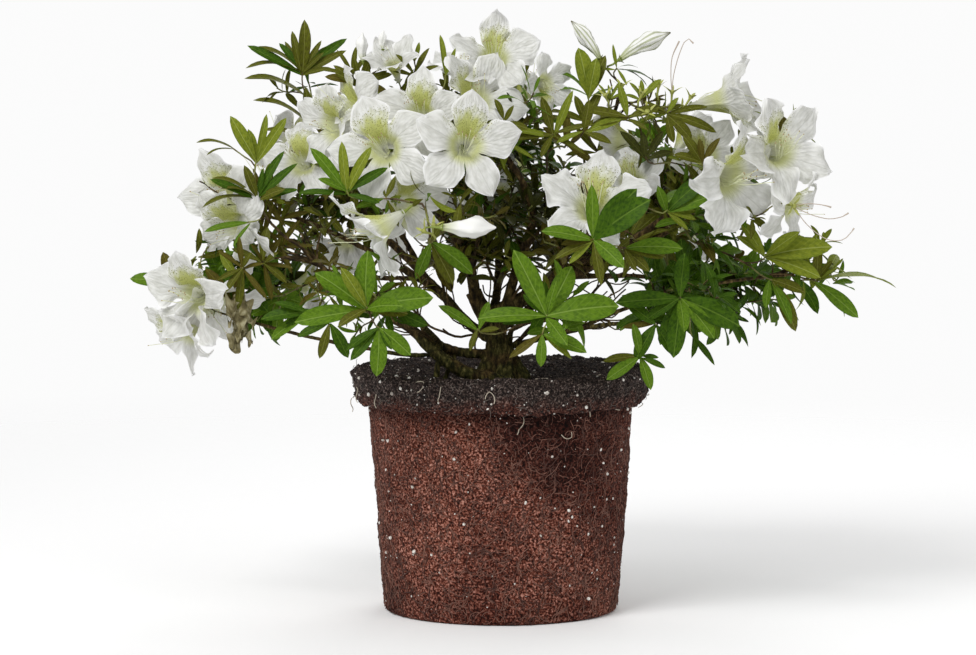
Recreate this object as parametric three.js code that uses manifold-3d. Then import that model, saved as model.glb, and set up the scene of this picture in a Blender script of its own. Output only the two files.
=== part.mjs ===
// Azalea shrub in flower, standing on the bare root ball that a round nursery can has moulded.
// Millimetres, +Z up. The origin is the centre of the ball's flat underside, and the front is -Y.
// The ball carries the trunk, the trunk carries the limbs, and each limb ends inside one mass of
// leaves and blossom. Pieces that touch keep the clearance GAP between them.
import * as THREE from "three";
import { mergeVertices } from "three/addons/utils/BufferGeometryUtils.js";
import Module from "manifold-3d";

const wasm = await Module();
wasm.setup();

// ---- Driving dimensions ----
const GAP = 0.3; // clearance between pieces that touch
const BALL_HEIGHT = 215; // the depth of soil in a three gallon nursery can
const LIP_RADIUS = 132; // mouth of the lip that the can's rolled rim moulds
const LIP_HEIGHT = 31; // the lip's depth, down to its step
const LIP_DRAFT = 5; // how much narrower the lip is at its step
const STEP_WIDTH = 11; // the step from the lip in to the wall
const BASE_RADIUS = 103; // flat underside
const SOIL_DISH = 13; // how far the soil round the stem lies below the lip
const SOIL_SLOPE = 28; // width of the lip's inner bank
const FOOT_EDGE = 4; // rounding of the foot
const BALL_ROUGHNESS = 1.6; // how far roots and crumbs push the wall in and out
const BALL_SIDES = 36;

const TRUNK_HEIGHT = 78; // from the soil to the fork
const TRUNK_FLARE_RADIUS = 27; // root flare at the soil
const TRUNK_NECK_RADIUS = 10.5; // above the flare
const TRUNK_LEAN = -12; // how far the fork stands to the left of the foot
const FLARE_FALL = 0.3; // share of the height over which the flare dies away
const FLARE_LOBES = 5; // buttresses round the foot
const FLARE_LOBE_DEPTH = 0.12; // how far they stand out, as a share of the radius
const TRUNK_STEPS = 7;

const LIMB_SIDES = 6;
const LIMB_STEP = 40; // length of one facet along a limb
const LIMB_STEPS_LEAST = 3;
const LIMB_SEAT = 0.5; // share of a mass's half size that its limb stops short of the centre

const MASS_CORE = 0.6; // a mass's body, before its tufts are drawn out of it
const TUFT_LEAST = 0.35; // how far its smallest tuft stands out
const TUFT_RANGE = 0.45; // and how much more its largest does
const FINE = 3; // subdivisions of a mass on the crown's front and top
const COARSE = 2; // and of one behind or between those

const SOIL_LEVEL = BALL_HEIGHT - SOIL_DISH;
const WALL_RADIUS = LIP_RADIUS - LIP_DRAFT - STEP_WIDTH;

// ---- Materials ----
const material = (colour) =>
  new THREE.MeshStandardMaterial({ color: colour, roughness: 0.9, metalness: 0 });
const ROOTED_SOIL = material("#4a2a22");
const BARK = material("#4b4034");
const LEAVES = material("#4d7424");
const BLOSSOM = material("#e9e9ea");

// ---- Solids ----
// A closed geometry as a solid, with its shared vertices merged.
function solidOf(geometry) {
  const bare = geometry.clone();
  bare.deleteAttribute("normal");
  bare.deleteAttribute("uv");
  const merged = mergeVertices(bare, 1e-3);
  return new wasm.Manifold(
    new wasm.Mesh({
      numProp: 3,
      vertProperties: merged.attributes.position.array,
      triVerts: new Uint32Array(merged.index.array),
    }),
  );
}

function geometryOf(solid) {
  const mesh = solid.getMesh();
  const geometry = new THREE.BufferGeometry();
  geometry.setAttribute("position", new THREE.BufferAttribute(mesh.vertProperties, 3));
  geometry.setIndex(new THREE.BufferAttribute(mesh.triVerts, 1));
  geometry.computeVertexNormals();
  return geometry;
}

// The largest of the bodies that a cut leaves.
function mainBody(solid) {
  return solid.decompose().reduce((most, body) => (body.volume() > most.volume() ? body : most));
}

const shrub = new THREE.Group();
shrub.name = "azalea_shrub";

function addPiece(name, solid, finish) {
  const mesh = new THREE.Mesh(geometryOf(solid), finish);
  mesh.name = name;
  shrub.add(mesh);
}

// Numbers from 0 to 1 that repeat for a seed.
function numbersFrom(seed) {
  let state = seed * 7919 + 17;
  return () => {
    state = (state * 1664525 + 1013904223) % 4294967296;
    return state / 4294967296;
  };
}

// ---- Root ball ----
// A lathed wall with the step under its lip, dished on top and dead flat underneath. Slow waves
// round it make it uneven where roots have pushed against the can.
function rootBall() {
  const stepHeight = BALL_HEIGHT - LIP_HEIGHT;
  const lipFoot = LIP_RADIUS - LIP_DRAFT;
  const wallAt = (share) => BASE_RADIUS + (WALL_RADIUS - BASE_RADIUS) * share;
  const profile = [
    [0, 0],
    [BASE_RADIUS - FOOT_EDGE, 0],
    [BASE_RADIUS, FOOT_EDGE],
    ...[0.25, 0.5, 0.75].map((share) => [wallAt(share), stepHeight * share]),
    [WALL_RADIUS, stepHeight - 2],
    [lipFoot - 2, stepHeight],
    [lipFoot, stepHeight + FOOT_EDGE],
    [LIP_RADIUS, BALL_HEIGHT - 5],
    [LIP_RADIUS - 5, BALL_HEIGHT],
    [LIP_RADIUS - SOIL_SLOPE, BALL_HEIGHT - 3],
    [TRUNK_FLARE_RADIUS * 2, SOIL_LEVEL + 2],
    [TRUNK_FLARE_RADIUS * 1.4, SOIL_LEVEL],
    [0, SOIL_LEVEL],
  ].map(([radius, height]) => new THREE.Vector2(radius, height));
  const geometry = new THREE.LatheGeometry(profile, BALL_SIDES).rotateX(Math.PI / 2);
  const place = geometry.attributes.position;
  for (let i = 0; i < place.count; i++) {
    const x = place.getX(i);
    const y = place.getY(i);
    const z = place.getZ(i);
    const radius = Math.hypot(x, y);
    if (radius < BASE_RADIUS - FOOT_EDGE) continue;
    const turn = Math.atan2(y, x);
    const wave = Math.sin(3 * turn + z / 40) + Math.sin(7 * turn - z / 23) + Math.sin(11 * turn + z / 9);
    const grown = 1 + (BALL_ROUGHNESS * wave) / (3 * radius);
    place.setXY(i, x * grown, y * grown);
  }
  return solidOf(geometry);
}

// ---- Limbs ----
// A closed tube of radiusAt(share, turn) along a curve: a capped cylinder bent to follow it.
function tubeAlong(curve, steps, radiusAt) {
  const geometry = new THREE.CylinderGeometry(1, 1, 1, LIMB_SIDES, steps);
  const frames = curve.computeFrenetFrames(steps);
  const place = geometry.attributes.position;
  const corner = new THREE.Vector3();
  for (let i = 0; i < place.count; i++) {
    corner.fromBufferAttribute(place, i);
    const step = Math.round((corner.y + 0.5) * steps);
    const share = step / steps;
    const turn = Math.atan2(corner.z, corner.x);
    const radius = Math.hypot(corner.x, corner.z) * radiusAt(share, turn);
    const at = curve.getPointAt(share);
    at.addScaledVector(frames.normals[step], radius * Math.cos(turn));
    at.addScaledVector(frames.binormals[step], radius * Math.sin(turn));
    place.setXYZ(i, at.x, at.y, at.z);
  }
  const solid = solidOf(geometry);
  if (solid.volume() > 0) return solid;
  const index = geometry.index.array;
  for (let i = 0; i < index.length; i += 3) [index[i + 1], index[i + 2]] = [index[i + 2], index[i + 1]];
  return solidOf(geometry);
}

const trunkCurve = new THREE.CubicBezierCurve3(
  new THREE.Vector3(0, 0, SOIL_LEVEL + GAP),
  new THREE.Vector3(0, 0, SOIL_LEVEL + TRUNK_HEIGHT * 0.4),
  new THREE.Vector3(TRUNK_LEAN * 0.6, 0, SOIL_LEVEL + TRUNK_HEIGHT * 0.7),
  new THREE.Vector3(TRUNK_LEAN, 0, SOIL_LEVEL + TRUNK_HEIGHT),
);

function trunkRadius(share, turn) {
  const flare = Math.exp(-((share / FLARE_FALL) ** 2));
  const lobes = 1 + FLARE_LOBE_DEPTH * flare * Math.cos(FLARE_LOBES * turn);
  return (TRUNK_NECK_RADIUS + (TRUNK_FLARE_RADIUS - TRUNK_NECK_RADIUS) * flare) * lobes;
}

// The masses of the crown. at is the centre and half the half sizes, along X, Y and Z.
// lobes is how many tufts stand out of it, and sharp how pointed they are.
const MASSES = {
  low_left_bloom: { at: [-262, -60, 268], half: [64, 54, 56], lobes: 8, sharp: 7, bloom: true },
  left_shoulder: { at: [-232, -15, 368], half: [54, 60, 66], lobes: 9, sharp: 9 },
  top_left_shoot: { at: [-175, 30, 461], half: [52, 46, 58], lobes: 11, sharp: 12 },
  crown_left: { at: [-108, -90, 436], half: [62, 62, 70], lobes: 8, sharp: 7, bloom: true },
  crown_middle: { at: [-6, -82, 449], half: [68, 70, 77], lobes: 8, sharp: 7, bloom: true },
  top_right: { at: [100, -18, 447], half: [66, 62, 70], lobes: 10, sharp: 10 },
  right_shoulder: { at: [224, -58, 400], half: [62, 66, 84], lobes: 9, sharp: 7, bloom: true },
  right_tip: { at: [276, 4, 302], half: [67, 56, 44], lobes: 9, sharp: 12 },
  front_left_low: { at: [-108, -150, 290], half: [64, 54, 68], lobes: 8, sharp: 9 },
  front_middle_low: { at: [38, -152, 270], half: [56, 48, 40], lobes: 8, sharp: 12 },
  front_right: { at: [86, -140, 360], half: [64, 58, 58], lobes: 9, sharp: 9 },
  right_low: { at: [153, -100, 266], half: [60, 60, 60], lobes: 9, sharp: 10 },
  front_centre: { at: [-34, -132, 362], half: [52, 52, 44], lobes: 8, sharp: 8 },
  left_inner: { at: [-172, -45, 312], half: [54, 60, 58], lobes: 8, sharp: 8 },
  right_inner: { at: [166, -30, 345], half: [54, 60, 56], lobes: 8, sharp: 8 },
  crown_heart: { at: [-24, 62, 424], half: [92, 78, 66], lobes: 9, sharp: 7, bloom: true },
  back_left: { at: [-150, 146, 366], half: [84, 74, 76], lobes: 9, sharp: 7, bloom: true },
  back_middle: { at: [4, 186, 368], half: [78, 66, 70], lobes: 9, sharp: 7, bloom: true },
  back_right: { at: [152, 142, 366], half: [84, 74, 76], lobes: 9, sharp: 7, bloom: true },
  back_low_left: { at: [-216, 72, 284], half: [72, 70, 52], lobes: 9, sharp: 8 },
  back_low_right: { at: [200, 92, 282], half: [74, 70, 50], lobes: 9, sharp: 8 },
};

// The limbs, each after the one that it springs from. share is how far along that one it leaves,
// root and tip are its radii, and bow lifts (or, below 0, drops) the handle in the middle of its run.
const LIMBS = {
  up_left: { from: "trunk", share: 0.96, to: "crown_left", root: 7, tip: 3.4, bow: 12 },
  up_right: { from: "trunk", share: 0.9, to: "crown_middle", root: 6.2, tip: 3.2, bow: 4 },
  left_front: { from: "trunk", share: 0.16, to: "left_inner", root: 6.2, tip: 3.2, bow: -22 },
  left_back: { from: "trunk", share: 0.26, to: "back_left", root: 7, tip: 3.4, bow: 4 },
  back: { from: "trunk", share: 0.62, to: "back_middle", root: 5.6, tip: 3, bow: 8 },
  right_back: { from: "trunk", share: 0.48, to: "back_right", root: 6, tip: 3, bow: 2 },
  right: { from: "trunk", share: 0.7, to: "right_inner", root: 5.4, tip: 3, bow: 4 },
  right_low: { from: "trunk", share: 0.3, to: "right_low", root: 4.2, tip: 2.2, bow: 14 },
  front_low: { from: "trunk", share: 0.42, to: "front_middle_low", root: 3.6, tip: 2, bow: 8 },
  long_low_left: { from: "trunk", share: 0.2, to: "low_left_bloom", root: 3, tip: 1.8, bow: -16 },
  heart: { from: "up_right", share: 0.3, to: "crown_heart", root: 4.6, tip: 2.8, bow: 4 },
  front_centre: { from: "up_left", share: 0.3, to: "front_centre", root: 3.4, tip: 2.2, bow: 6 },
  front_left_low: { from: "left_front", share: 0.3, to: "front_left_low", root: 3.6, tip: 2.2, bow: 6 },
  front_right: { from: "right", share: 0.3, to: "front_right", root: 3.8, tip: 2.4, bow: 4 },
  shoulder_left: { from: "left_back", share: 0.42, to: "left_shoulder", root: 4.2, tip: 2.2, bow: 14 },
  shoulder_right: { from: "right", share: 0.62, to: "right_shoulder", root: 3.4, tip: 2.2, bow: 6 },
  top_left: { from: "left_back", share: 0.5, to: "top_left_shoot", root: 3.8, tip: 2, bow: 6 },
  top_right: { from: "right_back", share: 0.42, to: "top_right", root: 4, tip: 2.2, bow: 6 },
  low_left: { from: "left_back", share: 0.5, to: "back_low_left", root: 3.2, tip: 2, bow: 8 },
  low_right: { from: "right_back", share: 0.44, to: "back_low_right", root: 3.6, tip: 2, bow: 10 },
  tip_right: { from: "right_low", share: 0.5, to: "right_tip", root: 2.8, tip: 1.8, bow: 18 },
};

// The run of a limb: out of its parent, bowed by bow at mid run, to its seat in its mass.
function limbCurve({ from, share, to, bow }, curves) {
  const start = curves[from].getPointAt(share);
  const { at, half } = MASSES[to];
  const centre = new THREE.Vector3(...at);
  const back = start.clone().sub(centre).normalize();
  const depth = 1 / Math.hypot(back.x / half[0], back.y / half[1], back.z / half[2]);
  const end = centre.addScaledVector(back, depth * LIMB_SEAT);
  const middle = start.clone().lerp(end, 0.5);
  middle.z += bow;
  return new THREE.QuadraticBezierCurve3(start, middle, end);
}

// ---- Masses ----
// A ball of triangles drawn out into lobes in even directions, then sized to its half sizes.
function massGeometry({ half, lobes, sharp }, seed, detail) {
  const next = numbersFrom(seed);
  const golden = Math.PI * (3 - Math.sqrt(5));
  const spin = next() * Math.PI * 2;
  const tufts = Array.from({ length: lobes }, (_, i) => {
    const height = 1 - (2 * (i + 0.5)) / lobes;
    const ring = Math.sqrt(1 - height * height);
    const turn = i * golden + spin;
    const way = new THREE.Vector3(ring * Math.cos(turn), ring * Math.sin(turn), height);
    return { way, size: TUFT_LEAST + TUFT_RANGE * next() };
  });
  const geometry = new THREE.IcosahedronGeometry(1, detail);
  const place = geometry.attributes.position;
  const way = new THREE.Vector3();
  for (let i = 0; i < place.count; i++) {
    way.fromBufferAttribute(place, i).normalize();
    const swell = (tuft) => tuft.size * Math.exp(sharp * (tuft.way.dot(way) - 1));
    const reach = tufts.reduce((sum, tuft) => sum + swell(tuft), MASS_CORE);
    place.setXYZ(i, way.x * reach, way.y * reach, way.z * reach);
  }
  geometry.computeBoundingBox();
  const { min, max } = geometry.boundingBox;
  const centre = min.clone().add(max).multiplyScalar(0.5);
  const size = max.clone().sub(min);
  geometry.translate(-centre.x, -centre.y, -centre.z);
  geometry.scale((2 * half[0]) / size.x, (2 * half[1]) / size.y, (2 * half[2]) / size.z);
  return geometry;
}

// The mass with a clearance on every side, which is what its later neighbours are cut by.
function grown(geometry, half) {
  const [x, y, z] = half.map((length) => (length + 2 * GAP) / length);
  return geometry.clone().scale(x, y, z);
}

// ---- Assembly ----
addPiece("root_ball", rootBall(), ROOTED_SOIL);

const curves = { trunk: trunkCurve };
const wood = [];
addPiece("trunk", tubeAlong(trunkCurve, TRUNK_STEPS, trunkRadius), BARK);
wood.push(tubeAlong(trunkCurve, TRUNK_STEPS, (share, turn) => trunkRadius(share, turn) + GAP));

for (const [name, limb] of Object.entries(LIMBS)) {
  const curve = limbCurve(limb, curves);
  const steps = Math.max(LIMB_STEPS_LEAST, Math.round(curve.getLength() / LIMB_STEP));
  const radiusAt = (share) => limb.root + (limb.tip - limb.root) * share;
  let solid = tubeAlong(curve, steps, radiusAt);
  for (const earlier of wood) solid = solid.subtract(earlier);
  addPiece("limb_" + name, mainBody(solid), BARK);
  wood.push(tubeAlong(curve, steps, (share) => radiusAt(share) + GAP));
  curves[name] = curve;
}

const isSheltered = (name) => /^(back|crown_heart|left_inner|right_inner|front_centre)/.test(name);
const crown = [];
Object.entries(MASSES).forEach(([name, mass], i) => {
  const geometry = massGeometry(mass, i + 1, isSheltered(name) ? COARSE : FINE);
  let solid = solidOf(geometry.clone().translate(...mass.at));
  for (const cut of [...wood, ...crown]) solid = solid.subtract(cut);
  addPiece("mass_" + name, mainBody(solid), mass.bloom ? BLOSSOM : LEAVES);
  crown.push(solidOf(grown(geometry, mass.half).translate(...mass.at)));
});

export default shrub;
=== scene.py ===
import math
import random

import bmesh
import bpy
import numpy as np
from mathutils import Matrix, Vector, kdtree, noise

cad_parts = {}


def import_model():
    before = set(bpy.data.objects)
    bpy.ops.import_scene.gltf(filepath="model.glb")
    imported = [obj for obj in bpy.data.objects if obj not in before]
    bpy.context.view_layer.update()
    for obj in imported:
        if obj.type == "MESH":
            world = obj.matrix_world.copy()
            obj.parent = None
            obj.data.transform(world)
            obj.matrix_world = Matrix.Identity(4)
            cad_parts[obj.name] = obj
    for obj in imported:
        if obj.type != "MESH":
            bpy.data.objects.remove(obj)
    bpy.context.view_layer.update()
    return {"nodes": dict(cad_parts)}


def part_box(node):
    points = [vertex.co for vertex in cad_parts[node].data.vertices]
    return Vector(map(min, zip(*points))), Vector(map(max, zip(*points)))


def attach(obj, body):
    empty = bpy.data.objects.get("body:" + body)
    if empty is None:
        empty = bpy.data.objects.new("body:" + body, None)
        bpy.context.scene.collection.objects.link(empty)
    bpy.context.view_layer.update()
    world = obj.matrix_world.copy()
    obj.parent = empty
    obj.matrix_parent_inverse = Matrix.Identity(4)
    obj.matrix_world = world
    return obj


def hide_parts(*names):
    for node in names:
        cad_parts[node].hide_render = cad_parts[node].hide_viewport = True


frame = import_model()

# ---- Camera ----
# A long lens three metres in front of the plant, at the height of its top, tilted a little down
# to the middle of the plant, just left of the trunk.
VIEW_DISTANCE = 3.0
VIEW_HEIGHT = 0.477
VIEW_WIDTH = 0.859  # width of the strip that it takes in at the trunk
SENSOR_WIDTH = 36

aim = Vector((-0.0114, 0.0, 0.2486))
lens = bpy.data.cameras.new("camera")
camera = bpy.data.objects.new("camera", lens)
camera.location = (aim.x, -VIEW_DISTANCE, VIEW_HEIGHT)
lens.sensor_width = SENSOR_WIDTH
lens.lens = SENSOR_WIDTH * (aim - camera.location).length / VIEW_WIDTH
camera.rotation_euler = (aim - camera.location).to_track_quat("-Z", "Y").to_euler()
bpy.context.scene.collection.objects.link(camera)
bpy.context.scene.camera = camera


# ---- Studio floor ----
# A round sheet of matt white paper under the plant. It thins out to nothing towards its rim, so
# that it passes into the white surroundings with no edge.
def linear(colour):
    """A hex sRGB colour as linear red, green, blue and a full alpha."""
    parts = [int(colour[i : i + 2], 16) / 255 for i in (1, 3, 5)]
    return [c / 12.92 if c <= 0.04045 else ((c + 0.055) / 1.055) ** 2.4 for c in parts] + [1.0]


def add(tree, kind, inputs=None, stops=(), **settings):
    """Adds a node with its settings, and returns its outputs. A shader node's kind goes without
    "ShaderNode". inputs gives each socket, by its name or number, a value or the output that feeds
    it: a MapRange node takes 0 from between 1 and 2 to between 3 and 4. stops gives a colour ramp
    its (position, hex colour) pairs."""
    other = kind.startswith(("Geometry", "Function", "NodeGroup"))
    node = tree.nodes.new(kind if other else "ShaderNode" + kind)
    for name, value in settings.items():
        setattr(node, name, value)
    for key, value in (inputs or {}).items():
        if isinstance(value, bpy.types.NodeSocket):
            tree.links.new(value, node.inputs[key])
        else:
            node.inputs[key].default_value = value
    for i, (position, colour) in enumerate(stops):
        band = node.color_ramp.elements
        stop = band[i] if i < len(band) else band.new(position)
        stop.position = position
        stop.color = linear(colour)
    return node.outputs


def new_material(name, look):
    """A material, with plain settings on its Principled shader: its name gives the finish."""
    made = bpy.data.materials.new(name)
    made.use_nodes = True
    shader = made.node_tree.nodes["Principled BSDF"]
    for socket, value in look.items():
        shader.inputs[socket].default_value = value
    return made, made.node_tree, shader


def mesh_piece(name, points, faces=(), edges=(), finish=None):
    """A smooth mesh at the origin, made of points and the faces or edges between them."""
    mesh = bpy.data.meshes.new(name)
    mesh.from_pydata([tuple(p) for p in points], list(edges), [tuple(f) for f in faces])
    mesh.polygons.foreach_set("use_smooth", [True] * len(mesh.polygons))
    if finish:
        mesh.materials.append(finish)
    made = bpy.data.objects.new(name, mesh)
    bpy.context.scene.collection.objects.link(made)
    return made


FLOOR_RADIUS = 2.4
FLOOR_SIDES = 96
FADE_START = 0.6
FADE_END = 2.2
SMOOTH = {"interpolation_type": "SMOOTHSTEP"}

paper, tree, shader = new_material("Matt white paper", {"Base Color": linear("#ffffff"), "Roughness": 0.9})
place = add(tree, "TexCoord")["Object"]
reach = add(tree, "VectorMath", {0: place}, operation="LENGTH")["Value"]
fade = add(tree, "MapRange", {0: reach, 1: FADE_START, 2: FADE_END}, **SMOOTH)["Result"]
clear = add(tree, "BsdfTransparent")["BSDF"]
thinned = add(tree, "MixShader", {"Fac": fade, 1: shader.outputs["BSDF"], 2: clear})
tree.links.new(thinned["Shader"], tree.nodes["Material Output"].inputs["Surface"])

turns = np.linspace(0, 2 * math.pi, FLOOR_SIDES, endpoint=False)
rim = [(FLOOR_RADIUS * math.cos(a), FLOOR_RADIUS * math.sin(a), 0) for a in turns]
floor = mesh_piece("floor", rim, [range(FLOOR_SIDES)], finish=paper)

# ---- Studio light ----
# White surroundings light the plant from all round, and three soft boxes give it form: a large
# one high in front on the left, a weak one low on the right and one above behind.
SKY_STRENGTH = 0.5
BACKGROUND_STRENGTH = 0.97

surroundings = bpy.data.worlds.new("White surroundings")
surroundings.use_nodes = True
tree = surroundings.node_tree
white = linear("#ffffff")
lit = tree.nodes["Background"]
lit.inputs["Color"].default_value = white
lit.inputs["Strength"].default_value = SKY_STRENGTH
seen = add(tree, "Background", {"Color": white, "Strength": BACKGROUND_STRENGTH})["Background"]
straight = add(tree, "LightPath")["Is Camera Ray"]
both = add(tree, "MixShader", {"Fac": straight, 1: lit.outputs["Background"], 2: seen})
tree.links.new(both["Shader"], tree.nodes["World Output"].inputs["Surface"])
bpy.context.scene.world = surroundings

SOFT_BOXES = {
    "key": {"at": (-1.3, -1.9, 2.2), "size": 1.3, "power": 58},
    "fill": {"at": (1.9, -1.6, 0.9), "size": 1.2, "power": 9},
    "back": {"at": (0.6, 2.0, 2.0), "size": 1.4, "power": 22},
}
for name, box in SOFT_BOXES.items():
    lamp = bpy.data.lights.new("soft_box_" + name, "AREA")
    lamp.energy = box["power"]
    lamp.size = box["size"]
    holder = bpy.data.objects.new(lamp.name, lamp)
    holder.location = box["at"]
    holder.rotation_euler = (aim - holder.location).to_track_quat("-Z", "Y").to_euler()
    bpy.context.scene.collection.objects.link(holder)
bpy.context.scene.view_settings.view_transform = "Standard"

# ---- Root ball: wall and underside ----
# Bark and peat soil matted right through with fine feeder roots, which keep the shape of the
# nursery can they grew in. It is a lathed skin, pushed in and out by clods and by the roots.
BALL_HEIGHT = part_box("root_ball")[1].z
LIP_RADIUS = 0.1315
LIP_FOOT_RADIUS = 0.1265
LIP_FOOT = BALL_HEIGHT - 0.031
WALL_RADIUS = 0.116
BASE_RADIUS = 0.103
FOOT_EDGE = 0.004
SOIL_LEVEL = BALL_HEIGHT - 0.013
GRAIN = 0.0015  # side of one cell of the skins
CLOD_PUSH = 0.0010
ROOT_PUSH = 0.0007
WALL_SWAY = 0.0004  # how far the wall is out of round


def lathe(name, outline, cell, relief, finish):
    """A skin of revolution through outline's (radius, height) points, in cells of that size,
    pushed out by relief(place, turn). An end that isn't on the axis stays open."""
    rows = [Vector(outline[0])]
    for point in outline[1:]:
        start, end = rows[-1].copy(), Vector(point)
        steps = max(1, math.ceil((end - start).length / cell))
        rows += [start.lerp(end, (i + 1) / steps) for i in range(steps)]
    sides = math.ceil(2 * math.pi * max(row.x for row in rows) / cell)
    points, rings, faces = [], [], []
    for i, row in enumerate(rows):
        run = rows[min(i + 1, len(rows) - 1)] - rows[max(i - 1, 0)]
        out = Vector((run.y, -run.x)).normalized()
        on_axis = row.x < cell / 2
        rings.append(range(len(points), len(points) + (1 if on_axis else sides)))
        for j in range(len(rings[-1])):
            turn = 2 * math.pi * j / sides
            cosine, sine = math.cos(turn), math.sin(turn)
            here = Vector((row.x * cosine, row.x * sine, row.y))
            push = relief(here, turn)
            points.append(here + push * Vector((out.x * cosine, out.x * sine, out.y)))
    for low, high in zip(rings, rings[1:]):
        for j in range(sides):
            k = (j + 1) % sides
            corners = [low[j % len(low)], low[k % len(low)], high[k % len(high)], high[j % len(high)]]
            faces.append(list(dict.fromkeys(corners)))
    return mesh_piece(name, points, faces, finish=finish)


def wall_relief(here, turn):
    slow = math.sin(3 * turn + here.z / 0.04) + math.sin(7 * turn - here.z / 0.023)
    clods = noise.fractal(here * 70, 1.0, 2.0, 3)
    grain = noise.noise(here * 420) + 0.6 * noise.noise(here * 900)
    settled = min(1, here.z / FOOT_EDGE)
    return settled * (WALL_SWAY * slow + CLOD_PUSH * clods + ROOT_PUSH * grain)


# Felted roots: dull, mottled by strands and crumbs 1 to 2 mm across, with painted shade in the
# near-black hollows of the mottle, a patch of painted light on the front left towards the key
# light, and stained nearly black in one long run where water has drained from the lip.
# The near-black lowest stop falls where the fine noise, and so the bump, sinks: painted shade in the hollows
# of the felt, over the real mottle of strands and crumbs.
FELT_STOPS = [(0.37, "#120401"), (0.46, "#441e15"), (0.54, "#7a4434"), (0.65, "#c28f7f")]
# Where the patch of painted light sits, on the front left towards the key light, and its half axes; then the
# painted shade's stain.
PAINTED_LIGHT_AT, PAINTED_LIGHT_SIZE = (-0.065, -0.085, 0.10), (0.055, 0.09, 0.09)
STAIN_AT, STAIN_SIZE = (0.040, -0.108, 0.168), (0.072, 0.10, 0.062)
SOIL_AND_SHADE_BAND = 0.020  # height over which the wall darkens to the lip
MULTIPLIED = {"data_type": "RGBA", "blend_type": "MULTIPLY"}


def reach_from(tree, place, centre, size):
    """How far a place is from centre: 1 on the ellipsoid that has size as its half axes."""
    around = {"Vector": place, "Location": centre, "Scale": size}
    moved = add(tree, "Mapping", around, vector_type="TEXTURE")["Vector"]
    return add(tree, "VectorMath", {0: moved}, operation="LENGTH")["Value"]


def finish_surface(tree, shader, colour, relief, strength, depth):
    """Gives a shader its colour, and a bump of that strength and depth from relief."""
    tree.links.new(colour, shader.inputs["Base Color"])
    bump = add(tree, "Bump", {"Height": relief, "Strength": strength, "Distance": depth})
    tree.links.new(bump["Normal"], shader.inputs["Normal"])


dull = {"Roughness": 0.95, "Specular IOR Level": 0.15}
felt, tree, shader = new_material("Felted feeder roots in peat", dull)
place = add(tree, "TexCoord")["Object"]
fine = add(tree, "TexNoise", {"Vector": place, "Scale": 540, "Detail": 3, "Roughness": 0.7})["Fac"]
roots = add(tree, "ValToRGB", {"Fac": fine}, stops=FELT_STOPS)["Color"]
slow = add(tree, "TexNoise", {"Vector": place, "Scale": 13, "Detail": 4})["Fac"]
# The slow noise varies the felt's own tone; a patch on the front left, towards the key light, is lifted
# lighter on top of it: painted light.
painted_light_reach = reach_from(tree, place, PAINTED_LIGHT_AT, PAINTED_LIGHT_SIZE)
painted_light_share = add(tree, "MapRange", {0: painted_light_reach, 1: 1.6, 2: 0.4, 4: 0.14})["Result"]
tone_and_painted_light = add(tree, "Math", {0: slow, 1: painted_light_share}, operation="ADD")["Value"]
tone_and_painted_light_tint = add(tree, "ValToRGB", {"Fac": tone_and_painted_light}, stops=[(0.38, "#a99590"), (0.66, "#ffffff")])["Color"]
tinted = add(tree, "Mix", {0: 1.0, 6: roots, 7: tone_and_painted_light_tint}, **MULTIPLIED)[2]
stain_reach = reach_from(tree, place, STAIN_AT, STAIN_SIZE)
ragged = add(tree, "Math", {0: stain_reach, 1: slow}, operation="ADD")["Value"]
stained = add(tree, "MapRange", {0: ragged, 1: 1.7, 2: 0.9}, **SMOOTH)["Result"]
wet = add(tree, "Mix", {0: stained, 6: tinted, 7: linear("#8a7a77")}, **MULTIPLIED)[2]
# Just under the lip the wall darkens to the colour of the soil above it: painted shade under the lip's
# overhang, together with the soil's own dark.
height = add(tree, "SeparateXYZ", {0: place})["Z"]
near_lip = add(tree, "Math", {0: slow, 1: 0.035, 2: height}, operation="MULTIPLY_ADD")["Value"]
soil_and_shade = add(tree, "MapRange", {0: near_lip, 1: LIP_FOOT, 2: LIP_FOOT + SOIL_AND_SHADE_BAND})["Result"]
soiled_and_shaded = add(tree, "Mix", {0: soil_and_shade, 6: wet, 7: linear("#8b7f7c")}, **MULTIPLIED)[2]
finish_surface(tree, shader, soiled_and_shaded, fine, 0.6, 0.001)

step_back = 0.002
wall_outline = [(0, 0), (BASE_RADIUS - FOOT_EDGE, 0), (BASE_RADIUS - 0.001, 0.001), (BASE_RADIUS, FOOT_EDGE)]
wall_outline += [(WALL_RADIUS, LIP_FOOT - step_back), (WALL_RADIUS + step_back, LIP_FOOT + step_back)]
wall = lathe("root_ball_wall", wall_outline, GRAIN, wall_relief, felt)
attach(wall, "root")
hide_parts("root_ball")

# ---- Root ball: lip and soil surface ----
# Looser, darker soil above the roots. The can's rolled rim moulded the lip, the step under it is
# crumbling, and round the stem the soil has settled into a shallow dish.
LIP_CLODS = 0.0022
LIP_CRUMBS = 0.0009
HEM_PUSH = 0.002  # of the ragged hem at the lip's foot
HEM_HALF = 0.008


def lip_relief(here, turn):
    clods = noise.fractal(here * 95, 1.0, 2.0, 3)
    crumbs = noise.noise(here * 330)
    ragged = noise.noise(Vector((5 * math.cos(turn), 5 * math.sin(turn), 0.5)))
    hem = max(0, 1 - abs(here.z - LIP_FOOT) / HEM_HALF)
    return LIP_CLODS * clods + LIP_CRUMBS * crumbs + HEM_PUSH * hem * ragged


# Potting mix: crumbs of bark and peat, nearly black when damp and grey-brown where dry.
SOIL_STOPS = [(0.37, "#0c0706"), (0.47, "#261c19"), (0.55, "#463934"), (0.66, "#9d8d85")]
HEM_FADE = (LIP_FOOT + 0.030, LIP_FOOT + 0.013)  # where the red of the hem begins and is full

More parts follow.
